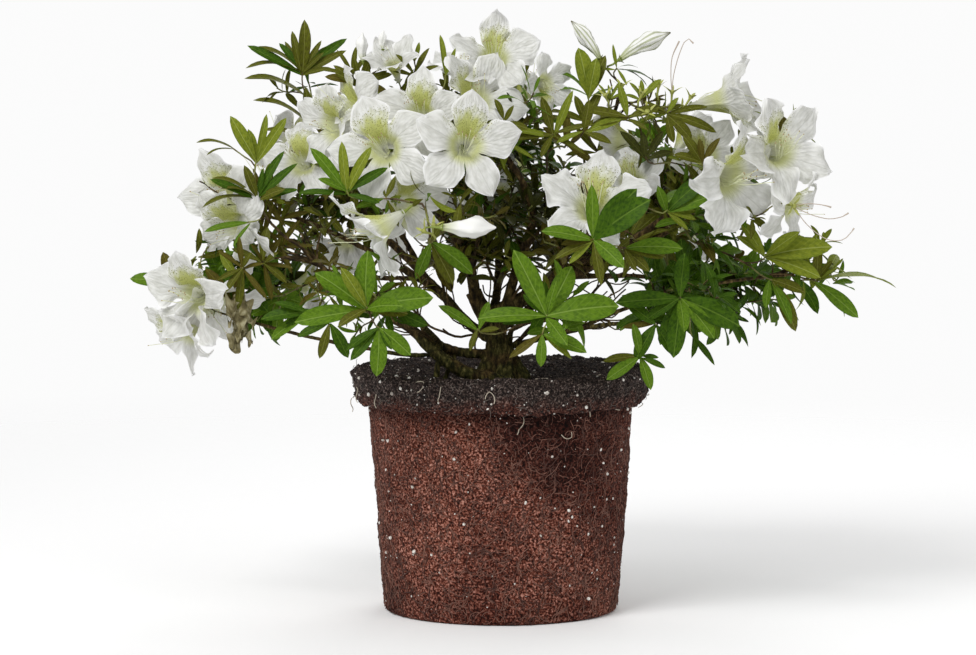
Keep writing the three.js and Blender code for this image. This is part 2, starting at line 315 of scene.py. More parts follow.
dull = {"Roughness": 0.92, "Specular IOR Level": 0.2}
soil, tree, shader = new_material("Damp bark and peat potting mix", dull)
place = add(tree, "TexCoord")["Object"]
fine = add(tree, "TexNoise", {"Vector": place, "Scale": 560, "Detail": 4, "Roughness": 0.75})["Fac"]
fine_colour = add(tree, "ValToRGB", {"Fac": fine}, stops=SOIL_STOPS)["Color"]
crumbs = add(tree, "TexVoronoi", {"Vector": place, "Scale": 420}, feature="F1")["Color"]
shade = add(tree, "SeparateColor", {"Color": crumbs})["Red"]
shades = add(tree, "ValToRGB", {"Fac": shade}, stops=[(0.0, "#9a9492"), (1.0, "#ffffff")])["Color"]
crumb_colour = add(tree, "Mix", {0: 1.0, 6: fine_colour, 7: shades}, **MULTIPLIED)[2]
# The hem of the lip is red with the roots that reach into it.
height = add(tree, "SeparateXYZ", {0: place})["Z"]
patches = add(tree, "TexNoise", {"Vector": place, "Scale": 45, "Detail": 3})["Fac"]
hem_height = add(tree, "Math", {0: patches, 1: 0.03, 2: height}, operation="MULTIPLY_ADD")["Value"]
hem = add(tree, "MapRange", {0: hem_height, 1: HEM_FADE[0], 2: HEM_FADE[1], 4: 0.85})["Result"]
root_red = add(tree, "ValToRGB", {"Fac": fine}, stops=FELT_STOPS)["Color"]
dark_red = add(tree, "Mix", {0: 1.0, 6: root_red, 7: linear("#b3a8a5")}, **MULTIPLIED)[2]
rooted = add(tree, "Mix", {0: hem, 6: crumb_colour, 7: dark_red}, data_type="RGBA")[2]
finish_surface(tree, shader, rooted, fine, 0.8, 0.001)

lip_outline = [(WALL_RADIUS - 0.004, LIP_FOOT + 0.001), (LIP_FOOT_RADIUS - 0.002, LIP_FOOT)]
lip_outline += [(LIP_FOOT_RADIUS, LIP_FOOT + 0.004), (LIP_RADIUS, BALL_HEIGHT - 0.006)]
lip_outline += [(LIP_RADIUS - 0.005, BALL_HEIGHT - 0.001), (LIP_RADIUS - 0.028, BALL_HEIGHT - 0.004)]
lip_outline += [(0.054, SOIL_LEVEL + 0.002), (0.036, SOIL_LEVEL), (0, SOIL_LEVEL)]
lip = lathe("root_ball_lip", lip_outline, GRAIN, lip_relief, soil)
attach(lip, "root")


# ---- Root ball: crumbs and perlite ----
# Loose crumbs of bark on the lip and the soil, and white grains of perlite through the whole
# ball. Geometry nodes strew both over the skins from a few knobbly grains.
def node_tree(name, inputs):
    """A geometry tree with named inputs besides its geometry, and its input sockets by name."""
    tree = bpy.data.node_groups.new(name, "GeometryNodeTree")
    for socket, kind in {"Geometry": "NodeSocketGeometry", **inputs}.items():
        tree.interface.new_socket(socket, in_out="INPUT", socket_type=kind)
    tree.interface.new_socket("Geometry", in_out="OUTPUT", socket_type="NodeSocketGeometry")
    return tree, add(tree, "NodeGroupInput")


def end_tree(tree, given, shapes):
    """Ends a geometry tree: its shapes are made real and get the finish that it was given."""
    real = add(tree, "GeometryNodeRealizeInstances", {"Geometry": shapes})[0]
    finished = add(tree, "GeometryNodeSetMaterial", {"Geometry": real, "Material": given["Finish"]})[0]
    add(tree, "NodeGroupOutput", {"Geometry": finished})


def grown(name, source, tree, values):
    """What a geometry tree makes of source, with values for its named inputs, as a plain mesh."""
    modifier = source.modifiers.new(tree.name, "NODES")
    modifier.node_group = tree
    for socket in tree.interface.items_tree:
        if socket.in_out == "INPUT" and socket.name in values:
            modifier[socket.identifier] = values[socket.name]
    bpy.context.view_layer.update()
    evaluated = source.evaluated_get(bpy.context.evaluated_depsgraph_get())
    mesh = bpy.data.meshes.new_from_object(evaluated)
    mesh.name = name
    made = bpy.data.objects.new(name, mesh)
    bpy.context.scene.collection.objects.link(made)
    source.modifiers.remove(modifier)
    return made


def shape_box(name, shapes):
    """A collection, outside the scene, that holds the shapes to strew, in the order given."""
    box = bpy.data.collections.new(name)
    for i, shape in enumerate(shapes):
        shape.name = f"{name}_{i:02d}"
        bpy.context.scene.collection.objects.unlink(shape)
        box.objects.link(shape)
    return box


def knob(seed, squash):
    """A rough grain of about unit size, from a cube with its corners and sides pushed about."""
    chance = random.Random(seed)
    steps = (-1, 0, 1)
    cells = [(x, y, z) for x in steps for y in steps for z in steps if abs(x) + abs(y) + abs(z) in (1, 3)]
    points = [Vector(c).normalized() * chance.uniform(0.36, 0.56) for c in cells]
    index = {cell: i for i, cell in enumerate(cells)}
    faces = []
    for axis in range(3):
        for side in (-1, 1):
            ring = [(-1, -1), (1, -1), (1, 1), (-1, 1)]
            corners = []
            for a, b in ring if side > 0 else ring[::-1]:
                cell = [0, 0, 0]
                cell[axis], cell[(axis + 1) % 3], cell[(axis + 2) % 3] = side, a, b
                corners.append(index[tuple(cell)])
            middle = [0, 0, 0]
            middle[axis] = side
            faces += [(index[tuple(middle)], corners[i], corners[(i + 1) % 4]) for i in range(4)]
    return mesh_piece("grain", [Vector((p.x, p.y, p.z * squash)) for p in points], faces)


amounts = ("Grains per square metre", "Smallest", "Largest", "Lowest")
grain_inputs = {name: "NodeSocketFloat" for name in amounts}
grain_inputs |= {"Grains": "NodeSocketCollection", "Seed": "NodeSocketInt", "Finish": "NodeSocketMaterial"}
strew, given = node_tree("Strewn grains", grain_inputs)
height = add(strew, "SeparateXYZ", {0: add(strew, "GeometryNodeInputPosition")[0]})["Z"]
above = add(strew, "FunctionNodeCompare", {0: height, 1: given["Lowest"]}, operation="GREATER_THAN")[0]
skin = {"Mesh": given["Geometry"], "Selection": above}
skin |= {"Density": given["Grains per square metre"], "Seed": given["Seed"]}
spots = add(strew, "GeometryNodeDistributePointsOnFaces", skin)["Points"]
any_turn = {0: (0, 0, 0), 1: (6.28, 6.28, 6.28), "Seed": given["Seed"]}
turn = add(strew, "FunctionNodeRandomValue", any_turn, data_type="FLOAT_VECTOR")[0]
share = add(strew, "FunctionNodeRandomValue", {2: 0.0, 3: 1.0, "Seed": 11}, data_type="FLOAT")[1]
mostly_small = add(strew, "Math", {0: share, 1: 2.5}, operation="POWER")["Value"]
size = add(strew, "MapRange", {0: mostly_small, 3: given["Smallest"], 4: given["Largest"]})["Result"]
box = {"Collection": given["Grains"], "Separate Children": True}
kinds = add(strew, "GeometryNodeCollectionInfo", box)[0]
strewing = {"Points": spots, "Instance": kinds, "Pick Instance": True, "Rotation": turn, "Scale": size}
end_tree(strew, given, add(strew, "GeometryNodeInstanceOnPoints", strewing)[0])

GRAIN_SQUASH = (0.6, 0.9, 0.7, 0.45)
grains = shape_box("grain", [knob(seed, squash) for seed, squash in enumerate(GRAIN_SQUASH, 1)])


def mottled(name, look, scale, detail, stops, uv_map=None):
    """A material whose colour drifts over stops by noise, on Object coordinates or a UV map."""
    made, tree, shader = new_material(name, look)
    if uv_map:
        place = add(tree, "UVMap", uv_map=uv_map)["UV"]
    else:
        place = add(tree, "TexCoord")["Object"]
    drift = add(tree, "TexNoise", {"Vector": place, "Scale": scale, "Detail": detail})["Fac"]
    colour = add(tree, "ValToRGB", {"Fac": drift}, stops=stops)["Color"]
    tree.links.new(colour, shader.inputs["Base Color"])
    return made


# Composted bark crumbs: rough, dark brown, each one shade, some dried to grey.
CRUMB_STOPS = [(0.35, "#0f0a08"), (0.48, "#29201c"), (0.58, "#483b36"), (0.70, "#8b7d75")]
bark_crumb = mottled("Composted bark crumbs", {"Roughness": 0.9}, 430, 3, CRUMB_STOPS)
# Perlite: puffed volcanic glass, chalk white and dull, a little dirty from the soil.
perlite = mottled("Perlite grains", {"Roughness": 0.8}, 300, 2, [(0.35, "#b3aaa0"), (0.55, "#e9e5de")])
# Each kind: the skin that it lies on, grains per square metre, the smallest and the largest
# grain, the height that it starts from, the seed and the finish.
STREWN = {
    "bark_crumbs": (lip, 68000.0, 0.0009, 0.0032, 0.0, 3, bark_crumb),
    "perlite_on_wall": (wall, 2600.0, 0.0010, 0.0046, 0.01, 20, perlite),
    "perlite_on_lip": (lip, 4000.0, 0.0010, 0.0046, 0.0, 21, perlite),
}
strewn_pieces = []
for name, (skin, density, smallest, largest, lowest, seed, finish) in STREWN.items():
    values = {"Grains": grains, "Grains per square metre": density, "Smallest": smallest, "Largest": largest}
    values |= {"Lowest": lowest, "Seed": seed, "Finish": finish}
    strewn_pieces.append(grown(name, skin, strew, values))
for piece in strewn_pieces:
    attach(piece, "root")

# ---- Root ball: feeder roots ----
# Fine roots that felt the wall, each lying along it and turning slowly, and a few bleached dead
# ones that stick out in hooks at the lip. Geometry nodes sweep a thin round section along each.
sweep, given = node_tree("Swept stems", {"Sides": "NodeSocketInt", "Finish": "NodeSocketMaterial"})
paths = add(sweep, "GeometryNodeMeshToCurve", {"Mesh": given["Geometry"]})[0]
section = add(sweep, "GeometryNodeCurvePrimitiveCircle", {"Resolution": given["Sides"], "Radius": 1.0})[0]
thick = add(sweep, "GeometryNodeInputNamedAttribute", {"Name": "thick"}, data_type="FLOAT")[0]
round_stem = {"Curve": paths, "Profile Curve": section, "Scale": thick, "Fill Caps": True}
tubes = add(sweep, "GeometryNodeCurveToMesh", round_stem)[0]
end_tree(sweep, given, add(sweep, "GeometryNodeSetShadeSmooth", {"Geometry": tubes})[0])


def swept(name, paths, sides, finish):
    """Round stems along paths, each a list of (place, radius)."""
    points, edges, radii = [], [], []
    for path in paths:
        first = len(points)
        points += [p for p, _ in path]
        radii += [r for _, r in path]
        edges += [(i, i + 1) for i in range(first, len(points) - 1)]
    source = mesh_piece(name + "_paths", points, edges=edges)
    source.data.attributes.new("thick", "FLOAT", "POINT").data.foreach_set("value", radii)
    made = grown(name, source, sweep, {"Sides": sides, "Finish": finish})
    bpy.data.objects.remove(source)
    return made


def round_axes(turn):
    """Level unit vectors at a turn round the Z axis: outward, and onward round the axis."""
    return Vector((math.cos(turn), math.sin(turn), 0)), Vector((-math.sin(turn), math.cos(turn), 0))


ROOT_STEP = 0.0026
# Living feeder roots: pinkish brown, dull, each strand of one tone. Colour, count, thickness.
ROOT_TONES = {"Fresh brown roots": ("#a0705f", 2300, 0.00034), "Old dark roots": ("#5f372b", 1900, 0.00042)}


def wall_root(chance, thickness):
    """A root on the wall that sets off in any direction and turns slowly."""
    turn, height = chance.uniform(0, 2 * math.pi), chance.uniform(0.003, LIP_FOOT - 0.002)
    heading, bend = chance.uniform(0, 2 * math.pi), chance.uniform(-0.5, 0.5)
    path = []
    for _ in range(chance.randint(4, 8)):
        out, _ = round_axes(turn)
        here = out * (BASE_RADIUS + (WALL_RADIUS - BASE_RADIUS) * height / LIP_FOOT) + Vector((0, 0, height))
        lift = wall_relief(here, turn) + thickness * 0.3
        path.append((here + out * lift, thickness * chance.uniform(0.7, 1.2)))
        turn += ROOT_STEP * math.cos(heading) / WALL_RADIUS
        height = min(max(height + ROOT_STEP * math.sin(heading), 0.002), LIP_FOOT)
        heading += bend + chance.uniform(-0.3, 0.3)
    return path


for seed, (tone, (colour, count, thickness)) in enumerate(ROOT_TONES.items()):
    finish = mottled(tone, {"Roughness": 0.85}, 90, 2, [(0, "#200d08"), (1, colour)])
    chance = random.Random(seed + 40)
    paths = [wall_root(chance, thickness) for _ in range(count)]
    roots = swept(tone.lower().replace(" ", "_"), paths, 3, finish)
    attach(roots, "root")

# Dead roots: bleached, stiff and hooked. Every third one lies on the lip.
HOOKS = 34
HOOK_RADIUS = 0.00042
HOOK_STEP = 0.0024
HOOK_TURN = 0.9  # of the crook, at the HOOK_CROOK step, on top of the bend
HOOK_CROOK = 4

bleached, *_ = new_material("Bleached dead roots", {"Base Color": linear("#b9ae9c"), "Roughness": 0.8})
chance = random.Random(5)
hooks = []
for i in range(HOOKS):
    turn = 2 * math.pi * (i + chance.uniform(-0.4, 0.4)) / HOOKS
    on_top = i % 3 == 0
    height = BALL_HEIGHT - (0.002 if on_top else chance.uniform(0.006, 0.05))
    radius = LIP_RADIUS - 0.02 if on_top else (LIP_RADIUS if height > LIP_FOOT else WALL_RADIUS) - 0.001
    out, around = round_axes(turn)
    here = out * radius + Vector((0, 0, height))
    heading, bend = chance.uniform(0, 2 * math.pi), chance.uniform(-0.35, 0.35)
    path = []
    for step in range(chance.randint(5, 9)):
        path.append((here + out * (0.0012 + 0.001 * math.sin(step)), HOOK_RADIUS))
        along = around * math.cos(heading) + (out * -0.4 if on_top else Vector((0, 0, 1))) * math.sin(heading)
        here = here + along * HOOK_STEP
        heading += bend + (HOOK_TURN if step == HOOK_CROOK else 0)
    hooks.append(path)
dead_roots = swept("dead_roots", hooks, 4, bleached)
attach(dead_roots, "root")

# Hair-fine dead roots lie over the side of the lip.
HAIR_ROOTS = 320
HAIR_RADIUS = 0.00024
HAIR_STEP = 0.0016
HAIR_LIFT = 0.0004
HAIR_LOW, HAIR_HIGH = LIP_FOOT + 0.004, BALL_HEIGHT - 0.004

grey, *_ = new_material("Grey hair roots", {"Base Color": linear("#6d625b"), "Roughness": 0.85})
hairs = []
for _ in range(HAIR_ROOTS):
    turn, heading = chance.uniform(0, 2 * math.pi), chance.uniform(0, 2 * math.pi)
    out, around = round_axes(turn)
    rise = chance.uniform(0, 1)
    here = out * (LIP_FOOT_RADIUS + (LIP_RADIUS - LIP_FOOT_RADIUS) * rise)
    here.z = HAIR_LOW + (HAIR_HIGH - HAIR_LOW) * rise
    bend, path = chance.uniform(-0.5, 0.5), []
    for _ in range(chance.randint(3, 6)):
        path.append((here + out * (lip_relief(here, turn) + HAIR_LIFT), HAIR_RADIUS))
        here = here + (around * math.cos(heading) + Vector((0, 0, 1)) * math.sin(heading)) * HAIR_STEP
        heading += bend
    hairs.append(path)
hair_roots = swept("hair_roots", hairs, 3, grey)
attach(hair_roots, "root")

# ---- Wood: trunk and boughs ----
# One old stem, fused from several at its foot, and the boughs that leave it. Their centre lines
# and girths are read off the frame. The bark is thin, dark and furrowed along the wood.
WOOD_CELL = 0.00116  # side of one cell of the bark's mesh
WOOD_STEP = 0.004  # from one sample of a centre line to the next
FOOT_DEPTH = 0.004  # how far the stem goes down into the soil
FLARE_TOP = 0.045  # height over which the foot spreads
FUSED_STEMS = 7
BARK_PUSH = 0.00075
BOUGH_TAPER = 0.014  # length over which a bough's end thins to a twig
FORK_LEVEL = SOIL_LEVEL + 0.036  # where the stem parts in two
LEFT_FORK_LEAN = Vector((-0.012, 0.0, 0.0))  # of the stem's top, over FORK_RISE
FORK_RISE = 0.04
FORK_GIRTH = 0.82
# The right fork: how far it bows out on its way up, and how far below the frame's joint it parts.
RIGHT_FORK = "limb_up_right"
RIGHT_FORK_BOW = Vector((0.036, 0.0, 0.0))
RIGHT_FORK_DROP = Vector((0.0, 0.0, 0.046))


def rings_along(node, gap):
    """The (centre, radius) of each ring of a CAD tube, from the end that was cut to its tip."""
    corners = np.array([v.co[:] for v in frame["nodes"][node].data.vertices])
    corners = np.unique(np.round(corners, 6), axis=0)
    middle = corners.mean(axis=0)
    run = np.linalg.svd(corners - middle)[2][0]
    along = (corners - middle) @ run
    order = np.argsort(along)
    groups = np.split(order, np.flatnonzero(np.diff(along[order]) > gap) + 1)
    if len(groups[0]) < len(groups[-1]):
        groups.reverse()
    found = []
    for group in groups:
        centre = corners[group].mean(axis=0)
        spread = np.sort(np.linalg.norm(corners[group] - centre, axis=1))
        found.append((Vector(centre), float(spread[-6:].mean())))
    return found


def run_through(stops, step):
    """Samples (place, radius) on a smooth line through stops, about step apart."""
    places = [place for place, _ in stops]
    places = [2 * places[0] - places[1], *places, 2 * places[-1] - places[-2]]
    line = []
    for i in range(len(stops) - 1):
        a, b, c, d = places[i : i + 4]
        count = max(1, round((c - b).length / step))
        for j in range(count):
            t = j / count
            bend, twist = 2 * a - 5 * b + 4 * c - d, 3 * b - a - 3 * c + d
            place = 0.5 * (2 * b + (c - a) * t + bend * t**2 + twist * t**3)
            line.append((place, stops[i][1] * (1 - t) + stops[i + 1][1] * t))
    return line + [stops[-1]]


def tube_mesh(line, sides, swell=None):
    """Points and faces of a closed tube on (place, radius) samples. swell(place, turn) scales it."""
    points, faces = [], []
    side = Vector((1, 0, 0))
    for i, (place, radius) in enumerate(line):
        ahead = (line[min(i + 1, len(line) - 1)][0] - line[max(i - 1, 0)][0]).normalized()
        side = (side - ahead * side.dot(ahead)).normalized()
        up = ahead.cross(side)
        for j in range(sides):
            turn = 2 * math.pi * j / sides
            reach = radius * (swell(place, turn) if swell else 1)
            points.append(place + reach * (math.cos(turn) * side + math.sin(turn) * up))
    for i in range(len(line) - 1):
        for j in range(sides):
            k = (j + 1) % sides
            faces.append((i * sides + j, i * sides + k, (i + 1) * sides + k, (i + 1) * sides + j))
    faces.append(range(sides - 1, -1, -1))
    faces.append(range((len(line) - 1) * sides, len(line) * sides))
    return points, faces


def flare(place, turn):
    rise = (place.z - SOIL_LEVEL) / FLARE_TOP
    lobes = 0.16 * math.cos(5 * turn + 0.6) + 0.07 * math.cos(3 * turn + 2.0)
    return 0.82 + max(0, 1 - rise) * lobes


trunk_rings = rings_along("trunk", 0.004)
if trunk_rings[0][0].z > trunk_rings[-1][0].z:
    trunk_rings.reverse()
trunk_rings.insert(0, (trunk_rings[0][0] - Vector((0, 0, FOOT_DEPTH)), trunk_rings[0][1]))
for i, (place, radius) in enumerate(trunk_rings):
    forked = min(1, max(0, (place.z - FORK_LEVEL) / FORK_RISE))
    trunk_rings[i] = (place + LEFT_FORK_LEAN * forked, radius * (1 + (FORK_GIRTH - 1) * forked))
trunk_line = run_through(trunk_rings, WOOD_STEP)

# Each bough: its own samples, from inside the wood that it leaves. A sample keeps the way that
# the wood runs there, its radius and how far it is from the root.
limb_lines = {"trunk": trunk_line}
limb_names = [name for name in frame["nodes"] if name.startswith("limb_")]
limb_rings = {name: rings_along(name, 0.008) for name in limb_names}
for name in sorted(limb_names, key=lambda name: -limb_rings[name][1][1]):
    first, *others = limb_rings[name]
    around = [sample for line in limb_lines.values() for sample in line]
    leaves_at = first[0]
    if name == RIGHT_FORK:
        leaves_at = leaves_at - RIGHT_FORK_DROP
        bows = [RIGHT_FORK_BOW * math.sin(math.pi * (i + 1) / len(others)) for i in range(len(others))]
        others = [(place + bow, radius) for (place, radius), bow in zip(others, bows)]
    start = min(around, key=lambda sample: (sample[0] - leaves_at).length)[0]
    stops = [(start, others[0][1] * 1.15)]
    stops += [stop for stop in others if (stop[0] - start).length > 0.012]
    onward = (stops[-1][0] - stops[-2][0]).normalized()
    stops.append((stops[-1][0] + onward * BOUGH_TAPER, stops[-1][1] * 0.4))
    limb_lines[name] = run_through(stops, WOOD_STEP)

# Old stems grown together: ridges that run up the trunk from the soil into the boughs.
fused = []
for name in sorted(limb_names, key=lambda name: limb_lines[name][0][0].z)[:FUSED_STEMS]:
    leave = limb_lines[name][0][0]
    out = limb_lines[name][6][0] - leave
    out.z = 0
    out.normalize()
    girth = limb_lines[name][0][1]
    foot = Vector((leave.x, leave.y, SOIL_LEVEL - FOOT_DEPTH)) + out * 0.019
    stops = [(foot, girth * 1.25), (foot.lerp(leave, 0.4) + out * 0.003, girth * 1.05)]
    stops += [(leave + out * 0.007, girth), (limb_lines[name][4][0], girth * 0.9)]
    fused.append(run_through(stops, WOOD_STEP))

# The lowest and oldest bough comes up in front of the stem and lies along the soil.
OLD_BOUGH = "limb_left_front"
# From the soil: how far right of the stem, behind it and above the soil.
OLD_BOUGH_FOOT = [(0.014, -0.026, -0.006), (-0.006, -0.030, 0.003)]
OLD_BOUGH_FOOT += [(-0.030, -0.028, 0.009), (-0.056, -0.023, 0.025)]
OLD_BOUGH_GIRTH, OLD_BOUGH_THINS = 0.0098, 0.0008
stops = []
for i, place in enumerate(OLD_BOUGH_FOOT):
    stops.append((Vector(place) + Vector((0, 0, SOIL_LEVEL)), OLD_BOUGH_GIRTH - OLD_BOUGH_THINS * i))
stops += [stop for stop in limb_lines[OLD_BOUGH] if stop[0].x < OLD_BOUGH_FOOT[-1][0] - 0.02][:12:4]
fused.append(run_through(stops, WOOD_STEP))

points, faces = [], []
for name, line in [*limb_lines.items(), *enumerate(fused)]:
    tube = tube_mesh(line, 30, flare) if name == "trunk" else tube_mesh(line, 12, lambda *_: 0.74)
    faces += [[len(points) + i for i in face] for face in tube[1]]
    points += tube[0]
wood = mesh_piece("trunk_and_boughs", points, faces)
bpy.context.view_layer.objects.active = wood
wood.data.remesh_voxel_size = WOOD_CELL
bpy.ops.object.voxel_remesh()

# Each point of the bark moves out or in by noise that is drawn out along the nearest wood.
samples = []
for line in limb_lines.values():
    samples += [(a[0], (b[0] - a[0]).normalized(), a[1]) for a, b in zip(line, line[1:])]
nearest = kdtree.KDTree(len(samples))
for i, sample in enumerate(samples):
    nearest.insert(sample[0], i)
nearest.balance()
wood.data.polygons.foreach_set("use_smooth", [True] * len(wood.data.polygons))
normals = [Vector(corner.vector) for corner in wood.data.vertex_normals]
for vertex, normal in zip(wood.data.vertices, normals):
    here = vertex.co.copy()
    _, i, _ = nearest.find(here)
    _, run, girth = samples[i]
    along = here.dot(run)
    grain = here - run * (along * 0.82)
    furrows = noise.noise(grain * 330) + 0.5 * noise.noise(grain * 800)
    knots = noise.noise(here * 60)
    push = BARK_PUSH * min(1.0, girth / 0.006 + 0.15)
    vertex.co = here + normal * push * (furrows + 0.8 * knots)

# Old bark: dark grey-brown, lighter on the ridges, green with moss low on the stem.
BARK_STOPS = [(0.34, "#1a130b"), (0.48, "#3a2e1a"), (0.60, "#5b4a2b"), (0.72, "#7c6940")]
MOSS_STOPS = [(0.38, "#1a1b0b"), (0.54, "#45431f"), (0.68, "#7f7748")]
MOSS_TOP, MOSS_FULL = SOIL_LEVEL + 0.10, SOIL_LEVEL + 0.02

bark, tree, shader = new_material("Old azalea bark", {"Roughness": 0.88, "Specular IOR Level": 0.15})
place = add(tree, "TexCoord")["Object"]
drawn_out = add(tree, "Mapping", {"Vector": place, "Scale": (1, 1, 0.35)})["Vector"]
flakes = add(tree, "TexNoise", {"Vector": drawn_out, "Scale": 330, "Detail": 4, "Roughness": 0.7})["Fac"]
bark_colour = add(tree, "ValToRGB", {"Fac": flakes}, stops=BARK_STOPS)["Color"]
height = add(tree, "SeparateXYZ", {0: place})["Z"]
low_down = add(tree, "MapRange", {0: height, 1: MOSS_TOP, 2: MOSS_FULL})["Result"]
patches = add(tree, "TexNoise", {"Vector": place, "Scale": 60, "Detail": 4})["Fac"]
mossy = add(tree, "MapRange", {0: patches, 1: 0.36, 2: 0.56}, **SMOOTH)["Result"]
moss_share = add(tree, "Math", {0: low_down, 1: mossy}, operation="MULTIPLY")["Value"]
moss = add(tree, "ValToRGB", {"Fac": flakes}, stops=MOSS_STOPS)["Color"]
aged = add(tree, "Mix", {0: moss_share, 6: bark_colour, 7: moss}, data_type="RGBA")[2]
finish_surface(tree, shader, aged, flakes, 0.5, 0.0006)
wood.data.materials.clear()
wood.data.materials.append(bark)
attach(wood, "root")
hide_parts("trunk", *limb_names)


# ---- Shoots: where they end ----
# Every shoot ends in a whorl of leaves or in a truss of bloom, and some in both. The ends are
# set out over the frame's masses of foliage: the leading ones one by one, the others by chance.
def in_mass(mass, x, y, z):
    """A point at those shares of a mass's box, from its left, its front and its foot."""
    low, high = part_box("mass_" + mass)
    return Vector(low) + Vector((x * (high.x - low.x), y * (high.y - low.y), z * (high.z - low.z)))


def facing(azimuth, elevation):
    """The direction that looks azimuth degrees right of the front, and elevation above level."""
    a, e = math.radians(azimuth), math.radians(elevation)
    return Vector((math.sin(a) * math.cos(e), -math.cos(a) * math.cos(e), math.sin(e)))


# Leading blooms: mass, shares of its box at the middle of the mouth, azimuth and elevation that
# it faces, roll, kind of corolla, size.
LEADING_BLOOMS = [
    ("crown_middle", (0.31, 0.02, 0.26), 8, 4, -8, "flat", 1.04),
    ("crown_left", (0.55, 0.05, 0.31), -12, 2, 22, "flat", 1.03),
    ("crown_left", (0.79, 0.27, 0.52), -18, 12, -4, "open", 0.95),
    ("crown_middle", (0.48, 0.60, 0.77), 2, 30, 0, "ruffled", 0.94),
    ("crown_middle", (0.40, 0.42, 0.53), 26, 20, 38, "open", 1.02),
    ("crown_middle", (0.85, 0.66, 0.59), 40, 0, 160, "open", 0.66),
    ("crown_left", (0.62, 0.65, 0.85), -16, 48, 180, "funnel", 0.72),
    ("crown_left", (0.25, 0.62, 0.57), -66, 14, 20, "aged", 0.88),
    ("crown_left", (0.13, 0.73, 0.40), -48, -14, -15, "limp", 0.90),
    ("left_shoulder", (1.00, 0.38, 0.72), -24, 10, 10, "limp", 0.85),
    ("left_shoulder", (0.38, 0.33, 0.44), -46, -8, 10, "open", 1.18),
    ("left_shoulder", (0.49, 0.19, 0.23), -38, -34, 30, "limp", 0.98),
    ("low_left_bloom", (0.42, 0.28, 0.59), -42, -12, -8, "ruffled", 1.08),
    ("low_left_bloom", (0.34, 0.64, 0.26), -56, -34, 30, "open", 0.92),
    ("low_left_bloom", (0.61, 0.57, 0.46), 26, -50, -4, "open", 1.04),
    ("front_centre", (0.08, 0.81, 0.50), 160, -6, 0, "open", 0.88),
    ("front_centre", (-0.28, 0.19, 0.19), -80, -33, 0, "open", 1.08),
    ("front_right", (0.41, 0.50, 0.57), -12, 34, -3, "ruffled", 1.16),
    ("top_right", (0.35, 0.42, 0.28), -108, 6, 0, "open", 0.92),
    ("right_shoulder", (0.36, 0.64, 0.81), 80, 12, 180, "funnel", 1.20),
    ("right_shoulder", (0.66, 0.24, 0.55), 30, 8, 26, "ruffled", 1.14),
    ("right_shoulder", (0.36, 0.09, 0.38), 50, -14, 14, "aged", 1.16),
    ("right_shoulder", (0.77, 0.41, 0.22), 56, -30, 0, "limp", 0.82),
    ("right_shoulder", (0.15, 0.72, 0.52), 10, 10, 40, "open", 0.80),
]
# How many blooms each mass carries besides the leading ones.
MASS_BLOOMS = {"crown_heart": 4, "back_left": 5, "back_middle": 5, "back_right": 5, "back_low_left": 1}
# Buds: mass, shares of its box at the foot, azimuth and elevation, form, length.
BUDS = [
    ("front_centre", (0.34, 0.18, 0.30), 90, 0, "white", 0.046),
    ("top_right", (0.32, 0.32, 0.76), -90, 53, "striped", 0.042),
    ("top_right", (0.46, 0.32, 0.76), 90, 28, "striped", 0.050),
    ("crown_left", (0.42, 0.74, 0.82), -90, 88, "white", 0.026),
    ("crown_left", (0.55, 0.74, 0.89), 90, 86, "white", 0.018),
]
# Calyxes whose corolla has dropped: mass, shares, azimuth and elevation.
SPENT = [
    ("top_right", (0.35, 0.08, 0.54), -30, 60),
    ("top_right", (0.47, 0.16, 0.60), 10, 80),
    ("top_right", (0.61, 0.08, 0.55), 40, 70),
    ("top_right", (0.74, 0.24, 0.60), 0, 85),
    ("top_right", (0.84, 0.24, 0.56), 30, 80),
    ("top_right", (0.91, 0.16, 0.47), 60, 50),
    ("top_right", (0.65, 0.04, 0.44), 0, 40),
    ("top_right", (0.97, 0.16, 0.53), 80, 60),
    ("front_centre", (0.21, 0.23, 0.26), -60, 30),
    ("front_centre", (0.28, 0.28, 0.31), 30, 60),
    ("right_shoulder", (0.10, 0.26, 0.46), -60, 40),
    ("right_shoulder", (0.69, 0.18, 0.26), 30, -10),
]
